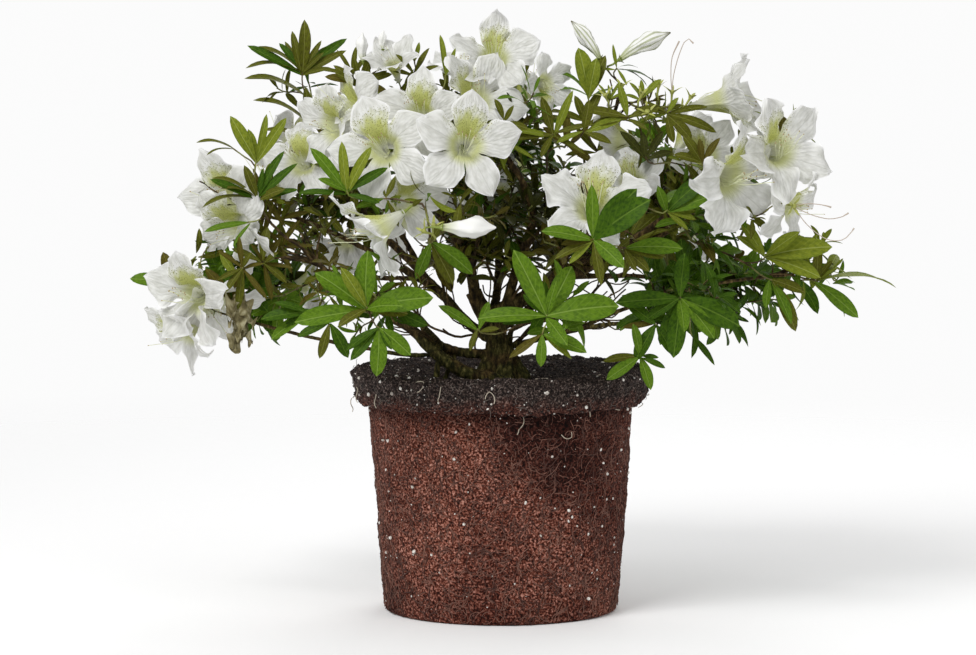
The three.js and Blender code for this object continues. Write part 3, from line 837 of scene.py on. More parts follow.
# Leading sprays: mass, shares of its box at the shoot's end, the azimuth and elevation that the
# shoot grows to, and its leaves by tone and form. Each leaf: its angle seen from the front (0 to
# the right, 90 up), its length in mm and how far it leans to the front, in degrees.
LEADING_SPRAYS = [
    ("top_left_shoot", (0.50, 0.39, 0.60), (0, 85), [
        ("olive narrow", (85, 50, 12)),
        ("olive slim", (103, 42, 5), (63, 36, 5), (47, 28, 20), (33, 46, 10), (20, 30, 30),
         (118, 36, -20)),
        ("deep slim", (151, 55, 0), (40, 51, 5), (126, 36, -10)),
        ("olive edge", (134, 51, 0), (156, 53, 0), (56, 47, 0))]),
    ("top_left_shoot", (0.53, 0.39, 0.42), (0, 80), [
        ("olive edge", (144, 60, 0), (2, 26, 0), (-15, 24, 10))]),
    ("top_left_shoot", (0.55, 0.39, 0.24), (0, 80), [
        ("olive edge", (138, 56, 0), (36, 24, 0)), ("olive narrow", (92, 33, 10))]),
    ("top_left_shoot", (0.58, 0.39, 0.05), (0, 80), [("olive edge", (142, 48, 0))]),
    ("left_shoulder", (0.70, 0.12, 0.72), (0, 70), [
        ("light narrow", (118, 47, 15), (101, 30, 5)),
        ("light slim", (77, 45, 5), (57, 48, 5), (124, 36, -5))]),
    ("left_shoulder", (0.71, 0.07, 0.48), (0, 50), [
        ("olive narrow", (108, 34, 30), (30, 30, 30)),
        ("deep slim", (64, 48, 5), (41, 46, 5), (156, 44, 5), (20, 38, 15), (80, 30, 20)),
        ("olive edge", (169, 51, 0), (135, 46, 0), (145, 34, 10))]),
    ("left_shoulder", (0.63, 0.07, 0.32), (-60, 10), [("bright slim", (187, 40, 10), (230, 26, 20))]),
    ("crown_left", (0.33, 0.02, 0.06), (0, 60), [
        ("bright narrow", (126, 50, 10), (150, 28, 25)), ("light slim", (96, 46, 10), (66, 46, 10)),
        ("deep slim", (174, 42, 5), (33, 41, 0), (-10, 30, 20))]),
    ("front_left_low", (0.47, 0.22, 0.42), (10, 40), [
        ("bright broad", (91, 50, 15), (140, 54, 5), (189, 60, 5), (14, 58, 8), (18, 44, 50)),
        ("light narrow", (121, 42, 20)), ("olive middle", (-4, 36, 10), (206, 30, 30))]),
    ("front_left_low", (0.55, 0.17, 0.30), (0, 0), [
        ("bright broad", (-90, 42, 15), (-38, 36, 10)),
        ("deep narrow", (-131, 36, 10), (-149, 34, 5), (-58, 22, 20))]),
    ("front_left_low", (0.21, 0.50, 0.31), (-30, 10), [
        ("deep middle", (-60, 34, 10), (-160, 30, 10), (150, 28, 20)), ("olive middle", (-105, 32, 10))]),
    ("front_left_low", (0.07, 0.59, 0.37), (-60, 10), [
        ("deep narrow", (-176, 42, 5), (160, 32, 10), (-150, 26, 0)), ("bright narrow", (-148, 42, 0))]),
    ("front_middle_low", (0.49, 0.21, 0.53), (5, 40), [
        ("bright broad", (115, 63, 8), (12, 63, 5), (-48, 40, 55), (62, 50, -10)),
        ("bright narrow", (178, 59, 5), (75, 33, 15)), ("deep middle", (184, 38, 0), (138, 26, -10))]),
    ("front_middle_low", (0.46, 0.17, 0.34), (0, 0), [
        ("bright broad", (-93, 28, 20), (-22, 40, 10)), ("light narrow", (-40, 32, 10)),
        ("bronze narrow", (-145, 34, 10))]),
    ("front_middle_low", (-0.02, 0.73, 0.34), (-30, 40), [
        ("bright narrow", (144, 42, 5), (72, 27, 5)), ("olive middle", (-112, 20, 20), (10, 18, 20))]),
    ("front_right", (0.42, 0.16, 0.29), (5, 45), [
        ("bright broad", (165, 45, 10), (-38, 42, 45)), ("deep broad", (54, 58, 20), (41, 62, 26)),
        ("bright middle", (92, 48, 12)), ("olive middle", (-80, 38, 15), (-160, 36, 10)),
        ("light narrow", (-137, 28, 10)), ("bronze narrow", (-176, 28, 5))]),
    ("front_right", (0.63, 0.28, 0.22), (40, 10), [
        ("bright middle", (4, 50, 5)), ("olive middle", (-8, 36, 5), (-38, 30, 10), (-62, 22, 20))]),
    ("right_low", (0.47, 0.08, 0.66), (10, 20), [
        ("deep broad", (183, 54, 5), (-21, 58, 5), (-96, 52, 12), (-112, 44, 5), (84, 38, -10),
         (-150, 34, 10)),
        ("bright broad", (-46, 46, 10), (-84, 34, 40)), ("deep edge", (-57, 58, -20))]),
    ("right_low", (0.30, 0.08, 0.47), (0, -10), [
        ("deep broad", (-122, 36, 10), (142, 30, 0), (-60, 30, 0)), ("bronze narrow", (186, 28, 5))]),
    ("right_low", (0.19, 0.08, 0.24), (0, -20), [
        ("bright broad", (-147, 34, 10), (-72, 30, 10), (100, 30, 20)), ("olive middle", (-176, 32, 5)),
        ("deep narrow", (0, 16, 10), (-19, 24, 0))]),
    ("top_right", (0.23, 0.24, 0.54), (0, 80), [
        ("light broad", (99, 44, 10), (80, 38, 12)), ("olive narrow", (70, 42, 0)),
        ("bright edge", (122, 34, 0), (150, 30, 0), (30, 34, 0))]),
    ("top_right", (0.44, 0.28, 0.71), (40, 50), [
        ("deep edge", (-2, 42, 0), (-11, 32, 0), (20, 20, 20)),
        ("light slim", (-60, 18, 20), (100, 22, 20), (175, 24, 10))]),
    ("top_right", (-0.03, 0.04, 0.31), (-20, 60), [
        ("olive narrow", (107, 36, 15), (-120, 26, 35)), ("light slim", (68, 44, 10), (166, 38, 10)),
        ("olive slim", (183, 36, 5), (14, 36, 5), (-30, 32, 10))]),
    ("top_right", (0.51, 0.05, 0.42), (0, 60), [
        ("light middle", (105, 30, 10)),
        ("olive narrow", (170, 38, 5), (186, 34, 10), (22, 30, 10), (-30, 22, 30))]),
    ("top_right", (0.81, 0.11, 0.44), (40, 30), [
        ("olive slim", (15, 38, 0), (-16, 48, 0), (168, 30, 5), (150, 24, 10)),
        ("olive broad", (-42, 32, 10), (-78, 26, 10)), ("light narrow", (190, 24, 10), (60, 18, 20))]),
    ("top_right", (0.19, 0.02, 0.33), (0, 60), [
        ("olive broad", (78, 28, 5), (-22, 26, 10)), ("light narrow", (24, 36, 5), (-160, 26, 10))]),
    # This spray's dark inner tone is painted shade.
    ("top_right", (0.64, 0.03, 0.17), (0, 80), [
        ("inner narrow", (128, 34, 0), (60, 30, 0), (96, 26, 0), (20, 24, 10))]),
    ("right_shoulder", (0.07, 0.21, 0.48), (-10, 60), [
        ("olive broad", (122, 30, 5), (160, 26, 10)),
        ("bronze middle", (56, 26, 5), (98, 22, 10), (-60, 22, 20))]),
    ("top_right", (0.38, 0.11, 0.52), (-10, 80), [
        ("light slim", (62, 18, 5), (92, 16, 10), (120, 18, 5), (30, 14, 10))]),
    ("top_right", (0.62, 0.16, 0.53), (10, 80), [
        ("light narrow", (50, 24, 5), (92, 18, 10), (124, 18, 5), (155, 16, 10))]),
    ("crown_middle", (0.54, 0.22, 0.40), (10, 60), [
        ("olive middle", (110, 20, 20), (60, 18, 20), (-10, 22, 10), (180, 16, 20))]),
    ("right_inner", (0.28, -0.09, 0.60), (30, 45), [
        ("deep middle", (46, 48, 8)), ("bright middle", (20, 50, 8), (110, 26, 30)),
        ("light narrow", (8, 26, 10), (-12, 26, 10), (-40, 24, 10))]),
    ("right_tip", (0.15, -0.07, 0.65), (60, 20), [
        ("light middle", (125, 38, 10), (142, 32, 15), (38, 38, 20)),
        ("light middle", (13, 60, 8), (-15, 54, 8), (30, 40, -10))]),
    ("right_tip", (0.19, 0.02, 0.40), (60, -20), [
        ("bright middle", (-65, 42, 5), (-100, 26, 20)), ("olive narrow", (-62, 52, 0), (-16, 34, 10))]),
    ("right_tip", (0.51, 0.29, 0.37), (80, 5), [
        ("light edge", (15, 74, 0)), ("light slim", (36, 22, 0)), ("bright middle", (-37, 52, 5)),
        ("olive middle", (88, 32, 10), (60, 24, 20))]),
    ("low_left_bloom", (0.32, 0.64, 0.69), (-70, 30), [
        ("bright broad", (166, 40, 10)), ("bronze broad", (108, 32, 10))]),
    ("low_left_bloom", (0.73, 0.50, 0.58), (-20, 60), [
        ("bronze middle", (126, 38, 10), (70, 30, 10)), ("deep middle", (105, 34, 0), (-40, 24, 10))]),
    ("front_centre", (0.26, 0.62, 0.14), (20, 10), [
        ("bright middle", (-33, 46, 10), (-112, 34, 10)), ("olive middle", (-60, 42, 5), (60, 22, 10))]),
    ("crown_left", (0.43, 0.74, 0.68), (0, 70), [
        ("olive narrow", (80, 20, 20), (40, 24, 10), (150, 30, 10))]),
    ("crown_left", (0.39, 0.74, 0.70), (0, 60), [
        ("olive narrow", (64, 28, 10), (100, 22, 10), (142, 28, 5), (20, 30, 10)),
        ("bronze narrow", (170, 30, 5), (-12, 26, 5), (-60, 24, 10))]),
    ("crown_middle", (0.16, 0.51, 0.64), (0, 80), [("light slim", (95, 36, 10), (70, 26, 10))]),
    ("crown_left", (0.77, 0.74, 0.84), (0, 80), [("light narrow", (110, 22, 10), (75, 18, 10))]),
    ("crown_left", (0.77, 0.69, 0.76), (0, 80), [
        ("olive narrow", (128, 24, 10), (60, 26, 10), (20, 24, 20), (165, 22, 10))]),
    ("crown_left", (0.34, 0.82, 0.76), (0, 80), [
        ("olive slim", (85, 26, 10), (55, 22, 10), (120, 26, 0), (165, 30, 10))]),
    ("left_shoulder", (0.51, 0.14, 0.80), (-60, 30), [("olive edge", (150, 36, 0), (172, 26, 0))]),
    ("low_left_bloom", (0.82, 0.28, 0.84), (0, 20), [
        ("bronze slim", (96, 30, 25), (144, 26, 5), (-50, 34, 10), (22, 24, 40)),
        ("olive narrow", (-97, 36, 0), (-128, 26, 25), (66, 22, 45), (205, 24, 20))]),
    ("left_inner", (0.12, 0.38, 0.48), (-20, 30), [
        ("olive narrow", (84, 32, 0), (36, 22, 40), (156, 30, -10), (-36, 28, 10)),
        ("bronze slim", (114, 24, 40), (-78, 32, 0), (-8, 28, 20), (60, 30, -20))]),
    ("left_inner", (0.27, 0.54, 0.59), (0, 40), [
        ("bronze slim", (60, 30, 10), (122, 22, 30), (172, 26, 0), (5, 30, 10), (-66, 26, 20))]),
    ("left_inner", (0.10, 0.62, 0.65), (-30, 40), [
        ("bronze slim", (74, 32, -10), (128, 26, 20), (178, 30, 0), (12, 24, 30)),
        ("olive narrow", (98, 22, 40), (-34, 30, 0), (-79, 24, 20))]),
    ("right_low", (0.59, 0.75, 0.34), (20, -30), [("deep slim", (-52, 34, 0))]),
    ("top_right", (0.22, 0.28, 0.38), (0, 60), [
        ("olive middle", (70, 32, 10), (112, 28, 20), (160, 26, 10), (20, 26, 20))]),
    ("top_right", (0.30, 0.40, 0.20), (10, 40), [
        ("olive narrow", (60, 30, 10), (15, 28, 20), (130, 28, 10), (-60, 26, 10), (180, 28, 0))]),
    ("top_right", (0.07, 0.24, 0.24), (-20, 50), [
        ("bronze narrow", (90, 30, 10), (45, 28, 20), (140, 26, 10), (-30, 28, 10))]),
    ("left_inner", (0.12, 0.70, 0.93), (-30, 50), [
        ("olive narrow", (80, 26, 10), (140, 30, 0), (190, 26, 10), (30, 24, 20)),
        ("bronze slim", (110, 30, 10), (-50, 28, 20), (-100, 26, 0), (0, 26, 10))]),
    ("left_inner", (0.24, 0.78, 0.78), (-10, 50), [
        ("olive narrow", (60, 26, 20), (120, 24, 10), (-20, 26, 0), (-80, 28, 20)),
        ("bronze slim", (90, 26, -10), (160, 28, 10), (20, 28, 20))]),
]

# The other whorls of each mass: how many, the length of a leaf, its form and its tones.
MASS_WHORLS = {
    "low_left_bloom": (8, 0.032, "slim", ("olive", "bronze", "bright")),
    "left_shoulder": (22, 0.033, "slim", ("olive", "light", "deep", "bronze")),
    "top_left_shoot": (2, 0.030, "slim", ("olive", "deep")),
    "crown_left": (22, 0.033, "slim", ("light", "bright", "olive")),
    "crown_middle": (28, 0.033, "slim", ("light", "bright", "olive")),
    "top_right": (36, 0.032, "narrow", ("olive", "light", "bronze")),
    "right_shoulder": (24, 0.033, "narrow", ("olive", "bright", "light")),
    "right_tip": (16, 0.036, "narrow", ("light", "bright", "deep")),
    "front_left_low": (12, 0.035, "middle", ("deep", "bright", "olive")),
    "front_middle_low": (5, 0.034, "middle", ("bright", "deep")),
    "front_right": (26, 0.038, "middle", ("bright", "deep", "olive")),
    "right_low": (26, 0.040, "broad", ("deep", "bright", "deep")),
    "front_centre": (16, 0.031, "middle", ("olive", "bronze", "bright")),
    "left_inner": (48, 0.025, "narrow", ("olive", "bronze", "olive", "bronze", "deep")),
    "right_inner": (34, 0.037, "middle", ("bright", "deep", "olive")),
    "crown_heart": (60, 0.038, "middle", ("deep", "bright", "olive")),
    "back_left": (60, 0.036, "middle", ("olive", "deep", "bronze")),
    "back_middle": (70, 0.040, "middle", ("deep", "bright", "light")),
    "back_right": (60, 0.042, "middle", ("deep", "bright", "olive")),
    "back_low_left": (40, 0.042, "broad", ("bright", "deep")),
    "back_low_right": (40, 0.042, "broad", ("bright", "deep")),
}
# Dead or leafless twigs in each mass, and in the box round the stem.
MASS_BARE = {"left_inner": 24, "front_centre": 8, "right_inner": 12, "back_middle": 16, "crown_heart": 8}
MASS_BARE |= {"front_right": 8, "right_low": 8, "right_tip": 6, "left_shoulder": 8, "top_right": 6}
BARE_ROUND_STEM = 140
BARE_SPREAD = 0.05  # how much the ways of the twigs round the stem differ
STEM_LOW, STEM_HIGH = (-0.11, -0.06, 0.245), (0.13, 0.10, 0.36)
CROWN_MIDDLE = Vector((0, 0, 0.29))
COROLLA_DEPTH = 0.038  # from the foot of a corolla to its mouth
BLOOM_APART = 0.062
WHORL_APART = 0.0205
WHORL_DEPTH = 0.023  # of a shoot's end under the skin of its mass
SCATTER_TRIES = 60  # for each place that is wanted
SWAY_SEED = 1795407815  # any whole number; without one, noise_vector differs from run to run
noise.seed_set(SWAY_SEED)
chance = random.Random(17)


def surface_spots(mass, count):
    """Random places on a mass's skin, evenly over its area."""
    mesh = frame["nodes"]["mass_" + mass].data
    mesh.calc_loop_triangles()
    triangles = mesh.loop_triangles
    picked = chance.choices(range(len(triangles)), weights=[t.area for t in triangles], k=count)
    for i in picked:
        a, b, c = (mesh.vertices[v].co for v in triangles[i].vertices)
        u, v = sorted((chance.random(), chance.random()))
        yield a * u + b * (v - u) + c * (1 - v)


def scatter(mass, count, depth, apart, taken, rule):
    """Up to count places, depth under a mass's skin, at least apart from each other."""
    low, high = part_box("mass_" + mass)
    centre = (Vector(low) + Vector(high)) / 2
    found = []
    for spot in surface_spots(mass, SCATTER_TRIES * count):
        if len(found) == count:
            break
        inward = centre - spot
        here = spot + inward.normalized() * min(depth * chance.uniform(0.75, 1.25), inward.length)
        if all((here - other).length > apart for other in taken) and rule(here):
            out = -inward.normalized() + 0.6 * (here - CROWN_MIDDLE).normalized()
            found.append((here, out))
            taken.append(here)
    return found


blooms = []
for mass, shares, azimuth, elevation, roll, kind, size in LEADING_BLOOMS:
    blooms.append((in_mass(mass, *shares), facing(azimuth, elevation), roll, kind, size))
leading_count = len(blooms)
mouths = [bloom[0] for bloom in blooms]


def before(here, shown, reach, depth):
    """Whether what grows at here would stand before shown, as seen from the front."""
    return math.hypot(here.x - shown.x, here.z - shown.z) < reach and here.y < shown.y + depth


def clear_of_front(here):
    """Whether a chance bloom stands neither before the leading ones nor low on the front."""
    hides = any(before(here, mouth, 0.05, 0.02) for mouth in mouths[:leading_count])
    return not hides and (here.y > -0.02 or here.z > 0.40)


for mass, count in MASS_BLOOMS.items():
    for here, out in scatter(mass, count, 0.006, BLOOM_APART, mouths, clear_of_front):
        way = (out.normalized() + Vector((0, 0, chance.uniform(-0.1, 0.45)))).normalized()
        kind = chance.choice(["open", "open", "flat", "aged", "funnel"])
        blooms.append((here, way, chance.uniform(-30, 30), kind, chance.uniform(0.85, 1.02)))


spray_ends = {}
for mass, shares, heading, _ in LEADING_SPRAYS:
    spray_ends[mass, shares] = (in_mass(mass, *shares), facing(*heading))

SHOWN_SIZE = 0.895  # leading blooms smaller than this may be half hidden
# Corners of the crown that are open but for their leading shoots: top right, low left, low
# right and right.
OPEN_CORNERS = [
    (Vector((0.075, 0, 0.450)), Vector((0.2, 0, 0.6))),
    (Vector((-0.4, 0, 0.1)), Vector((-0.19, 0, 0.250))),
    (Vector((0.115, 0, 0.1)), Vector((0.4, 0, 0.252))),
    (Vector((0.292, 0, 0.300)), Vector((0.4, 0, 0.5))),
]


def free_for_leaves(here):
    """Whether a chance whorl hides no leading bloom or spray, tops no bloom and is inside none."""
    if any(low.x < here.x < high.x and low.z < here.z < high.z for low, high in OPEN_CORNERS):
        return False
    for mouth, _, _, _, size in blooms[:leading_count]:
        if size > SHOWN_SIZE and before(here, mouth, 0.042 * size, 0.02):
            return False
        over = abs(here.x - mouth.x) < 0.04 and 0 < here.z - mouth.z < 0.06
        if over and here.y < min(0.03, mouth.y + 0.07):
            return False
    if any(before(here, end, 0.036, 0.008) for end, _ in spray_ends.values()):
        return False
    return all((here - mouth + way * 0.01).length > 0.034 for mouth, way, *_ in blooms)


whorls = []
shoot_ends = [end for end, _ in spray_ends.values()]
for mass, (count, length, form, tones) in MASS_WHORLS.items():
    outer = scatter(mass, count, WHORL_DEPTH, WHORL_APART, shoot_ends, free_for_leaves)
    inner = scatter(mass, count // 2, 2 * WHORL_DEPTH, WHORL_APART, shoot_ends, free_for_leaves)
    for i, (here, out) in enumerate(outer + inner):
        way = (out.normalized() + Vector((0, 0, chance.uniform(0.1, 0.9)))).normalized()
        leaf_count = chance.randint(4, 8)
        # Whorls of the deeper scatter take the dark inner tone: painted shade deep in the crown.
        tone = chance.choice(tones) if i < len(outer) else "inner"
        whorls.append((here, way, leaf_count, length * chance.uniform(0.8, 1.15), form, tone))

# Shoots with small dark leaves fill the middle of the crown, round the boughs; many take the dark inner tone,
# which is painted shade.
INNER_SHOOTS = 125
INNER_LOW, INNER_HIGH = Vector((-0.075, -0.085, 0.302)), Vector((0.100, 0.085, 0.405))
count = 0
while count < INNER_SHOOTS:
    here = Vector([chance.uniform(a, b) for a, b in zip(INNER_LOW, INNER_HIGH)])
    if free_for_leaves(here) and all((here - other).length > 0.013 for other in shoot_ends):
        way = (here - CROWN_MIDDLE + Vector((0, 0, 0.05))).normalized()
        tone = chance.choice(("inner", "inner", "deep", "olive", "bronze"))
        whorls.append((here, way, chance.randint(4, 7), chance.uniform(0.024, 0.038), "middle", tone))
        shoot_ends.append(here)
        count += 1

bare = []
for mass, count in MASS_BARE.items():
    bare += scatter(mass, count, 0.03, 0.010, [], lambda p: not any(before(p, m, 0.04, 0) for m in mouths))
for _ in range(BARE_ROUND_STEM):
    here = Vector([chance.uniform(low, high) for low, high in zip(STEM_LOW, STEM_HIGH)])
    bare.append((here, Vector((here.x, here.y, 0.09)) + noise.noise_vector(here * 90) * BARE_SPREAD))

# ---- Twigs ----
# Each shoot's end is joined to the nearest wood that grows its way, the ends nearest the boughs
# first, so that later twigs spring from earlier ones. A twig thickens with what it carries.
TWIG_STEP = 0.006
TWIG_TIP_RADIUS = 0.00068
TWIG_GROWTH = 2.4  # the power by which the girths of branches add up
TWIG_MOST = 0.0023
TWIG_WOBBLE = 0.0016
PATH_COST = 0.12
BARE_REACH = 0.04  # bare twigs are at least this long
TURN_COST = 0.7
ARRIVAL_COST = 0.5
TWIG_HANDLE = 0.35  # share of its length over which each end of a twig keeps its way

stem_places, stem_ways, stem_paths, stem_parents = [], [], [], []
for name, line in limb_lines.items():
    if name == "trunk":
        continue
    for i in range(3, len(line) - 1, 2):
        stem_places.append(line[i][0])
        stem_ways.append((line[i + 1][0] - line[i - 1][0]).normalized())
        stem_paths.append((line[i][0] - trunk_rings[0][0]).length)
        stem_parents.append(-1)

ends = [(place, way) for place, way, *_ in whorls]
for mouth, way, _, _, size in blooms:
    ends.append((mouth - way * (COROLLA_DEPTH + 0.012) * size, way))
ends += spray_ends.values()
buds = [(in_mass(mass, *shares), facing(a, e), form, length) for mass, shares, a, e, form, length in BUDS]
spent = [(in_mass(mass, *shares), facing(azimuth, elevation)) for mass, shares, azimuth, elevation in SPENT]
ends += [(foot - way * 0.011, way) for foot, way, *_ in buds + spent]
ends += [(place, way.normalized()) for place, way in bare]
bare_from = len(ends) - len(bare)
wood_places = np.array([p[:] for p in stem_places])
order = sorted(range(len(ends)), key=lambda i: np.linalg.norm(wood_places - ends[i][0][:], axis=1).min())
chance = random.Random(23)
twig_nodes = {}
for index in order:
    end, way = ends[index]
    places = np.array([p[:] for p in stem_places])
    apart = np.array(end[:]) - places
    reach = np.linalg.norm(apart, axis=1) + 1e-6
    lean = np.einsum("ij,ij->i", apart / reach[:, None], np.array([w[:] for w in stem_ways]))
    arrive = (apart / reach[:, None]) @ np.array(way[:])
    turns = TURN_COST * (1 - lean) / 2 + ARRIVAL_COST * (1 - arrive) / 2
    cost = reach * (1 + turns) + PATH_COST * np.array(stem_paths)
    cost[reach < (BARE_REACH if index >= bare_from else 0.012)] = 1e3
    parent = int(np.argmin(cost))
    start = stem_places[parent]
    span = (end - start).length
    leave = (stem_ways[parent] + (end - start).normalized()).normalized()
    handle_a = start + leave * span * TWIG_HANDLE
    handle_b = end - way * span * TWIG_HANDLE
    count = max(3, round(span / TWIG_STEP))
    seed = Vector((index * 3.1, index * 1.7, 0.5))
    previous, nodes = parent, [parent]
    for j in range(1, count + 1):
        t = j / count
        s = 1 - t
        place = s**3 * start + 3 * s * s * t * handle_a + 3 * s * t * t * handle_b + t**3 * end
        place = place + noise.noise_vector(seed + place * 55) * TWIG_WOBBLE * math.sin(math.pi * t) * 2
        stem_ways.append((place - stem_places[previous]).normalized())
        stem_places.append(place)
        stem_paths.append(stem_paths[previous] + span / count)
        stem_parents.append(previous)
        previous = len(stem_places) - 1
        nodes.append(previous)
    twig_nodes[index] = nodes

carried = [0] * len(stem_places)
for nodes in twig_nodes.values():
    at = nodes[-1]
    while at >= 0:
        carried[at] += 1
        at = stem_parents[at]


def girth(node):
    return min(TWIG_TIP_RADIUS * max(1, carried[node]) ** (1 / TWIG_GROWTH), TWIG_MOST)


GREEN_LENGTH = 5  # steps of green growth at the end of each shoot
woody_paths, green_paths = [], []
for index, nodes in twig_nodes.items():
    path = [(stem_places[n], girth(n)) for n in nodes]
    path[0] = (path[0][0], path[1][1])
    cut = max(1, len(path) - (0 if index >= bare_from else GREEN_LENGTH))
    woody_paths.append(path[: cut + 1])
    if cut < len(path) - 1:
        green_paths.append(path[cut:])

# Woody twigs: dark grey-brown, a little lighter where the light has bleached them.
TWIG_STOPS = [(0.35, "#22190e"), (0.5, "#43351f"), (0.68, "#6d5838")]
twig_bark = mottled("Twig bark", {"Roughness": 0.8, "Specular IOR Level": 0.2}, 150, 3, TWIG_STOPS)
# Young shoots: hairy and soft, yellow-green turning brown.
SHOOT_STOPS = [(0.38, "#4b3a22"), (0.52, "#6d6a33"), (0.66, "#8b9148")]
young_bark = mottled("Young shoot skin", {"Roughness": 0.7}, 70, 2, SHOOT_STOPS)
TWIGS = {"woody_twigs": (woody_paths, 6, twig_bark), "green_shoots": (green_paths, 5, young_bark)}
for name, (paths, sides, finish) in TWIGS.items():
    twigs = swept(name, paths, sides, finish)
    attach(twigs, "root")

# ---- Leaves ----
# Thin, leathery, slightly hairy blades 25 to 60 mm long, in whorls at the shoots' ends and a few
# below. A leaf is a small mesh in its own outline, folded along its midrib and bowed. Geometry
# nodes set the forms out by the places, turns and sizes that the whorls give.
LEAF_ROWS = 10
LEAF_SEAMS = (-1.0, -0.55, 0.0, 0.55, 1.0)
LEAF_FORMS = {
    "slim": {"half_width": 0.075, "swell": 1.1, "point": 0.95, "cell": 0},
    "narrow": {"half_width": 0.115, "swell": 1.25, "point": 1.0, "cell": 1},
    "middle": {"half_width": 0.135, "swell": 1.15, "point": 0.95, "cell": 2},
    "broad": {"half_width": 0.158, "swell": 1.1, "point": 0.85, "cell": 3},
}
# Bows: how far the tip drops (in leaf lengths), the fold of each half in degrees, and the twist.
LEAF_BOWS = ((0.02, 24, 8), (0.16, 16, -14), (0.34, 12, 16))
STALK_HALF = 0.016  # half the width of a leaf's foot, in leaf lengths
UP = Vector((0, 0, 1))


def with_uv(made, corners):
    """Gives a mesh the map OFBake, from one (u, v) for each of its points."""
    layer = made.data.uv_layers.new(name="OFBake")
    layer.data.foreach_set("uv", [c for loop in made.data.loops for c in corners[loop.vertex_index]])
    return made


def grid_faces(rows, wide, first=0):
    """The faces between rows + 1 rows of wide points each, from point number first on."""
    corners = [first + i * wide + j for i in range(rows) for j in range(wide - 1)]
    return [(a, a + 1, a + wide + 1, a + wide) for a in corners]


def leaf_mesh(form, bow):
    """One leaf of unit length, from its foot at the origin along +Y, upper side to +Z."""
    shape, (drop, fold, twist) = LEAF_FORMS[form], bow
    fold, twist = math.radians(fold), math.radians(twist)
    widest = shape["swell"] / (shape["swell"] + shape["point"])
    most = widest ** shape["swell"] * (1 - widest) ** shape["point"]
    points, corners = [], []
    for i in range(LEAF_ROWS + 1):
        v = i / LEAF_ROWS
        outline = v ** shape["swell"] * (1 - v) ** shape["point"] / most
        half = shape["half_width"] * outline + (STALK_HALF if i < LEAF_ROWS else 0.0)
        slope = 2 * drop * v
        along = v - 0.33 * drop * v**3
        height = 0.10 * v * (1 - v) - drop * v**2
        roll = twist * v
        for across in LEAF_SEAMS:
            wave = 0.012 * math.sin(7 * v + 2 * across) * abs(across) * outline
            x = half * across * math.cos(fold)
            z = half * abs(across) * math.sin(fold) + wave - 0.25 * half * across**2 * math.sin(fold)
            turned = (x * math.cos(roll) - z * math.sin(roll), x * math.sin(roll) + z * math.cos(roll))
            points.append((turned[0], along + turned[1] * slope, height + turned[1]))
            u = 0.5 + 0.5 * across * half / (shape["half_width"] + STALK_HALF)
            corners.append(((shape["cell"] + 0.04 + 0.92 * u) / 4, 0.02 + 0.96 * v))
    return with_uv(mesh_piece("leaf", points, grid_faces(LEAF_ROWS, len(LEAF_SEAMS))), corners)


leaf_forms = shape_box("leaf_form", [leaf_mesh(form, bow) for form in LEAF_FORMS for bow in LEAF_BOWS])
first_form = {form: i * len(LEAF_BOWS) for i, form in enumerate(LEAF_FORMS)}

place_inputs = {"Forms": "NodeSocketCollection", "Finish": "NodeSocketMaterial"}
set_out, given = node_tree("Set out by place", place_inputs)
box = {"Collection": given["Forms"], "Separate Children": True}
kinds = add(set_out, "GeometryNodeCollectionInfo", box)[0]
# What each place says of its leaf or flower: which form it is, how it is turned and its size.
SPOT_TRAITS = {"form": "INT", "turn": "QUATERNION", "size": "FLOAT_VECTOR"}
which, turned, sized = (
    add(set_out, "GeometryNodeInputNamedAttribute", {"Name": trait}, data_type=kind)[0]
    for trait, kind in SPOT_TRAITS.items()
)
places = {"Points": given["Geometry"], "Instance": kinds, "Pick Instance": True, "Instance Index": which}
places |= {"Rotation": turned, "Scale": sized}
end_tree(set_out, given, add(set_out, "GeometryNodeInstanceOnPoints", places)[0])


def set_out_by(name, forms, spots, finish):
    """A mesh of forms set out at spots: (form number, place, 3x3 turn, size on each axis)."""
    source = mesh_piece(name + "_spots", [place for _, place, _, _ in spots])
    flat = {
        "form": [form for form, *_ in spots],
        "turn": [c for _, _, turn, _ in spots for c in turn.to_quaternion()],
        "size": [c for *_, size in spots for c in size],
    }
    for trait, kind in SPOT_TRAITS.items():
        data = source.data.attributes.new(trait, kind, "POINT").data
        data.foreach_set("vector" if kind == "FLOAT_VECTOR" else "value", flat[trait])
    made = grown(name, source, set_out, {"Forms": forms, "Finish": finish})
    bpy.data.objects.remove(source)
    return made


def axes(along, upper):
    """A turn that lays +Y along a direction and brings +Z as near to upper as it can."""
    y = along.normalized()
    x = y.cross(upper).normalized()
    return Matrix((x, y, x.cross(y))).transposed()


GOLDEN_TURN = 2.39996  # from one leaf of a whorl to the next
LONE_SHARE = 0.45  # of the places for an older leaf, those that have one
TRUSS_LEAVES = 6
TRUSS_LEAF_LENGTH = 0.032


def leaf_spot(chance, foot, along, upper, length, form, bow):
    width = length * chance.uniform(0.85, 1.15)
    return first_form[form] + bow, foot, axes(along, upper), (width, length, length)


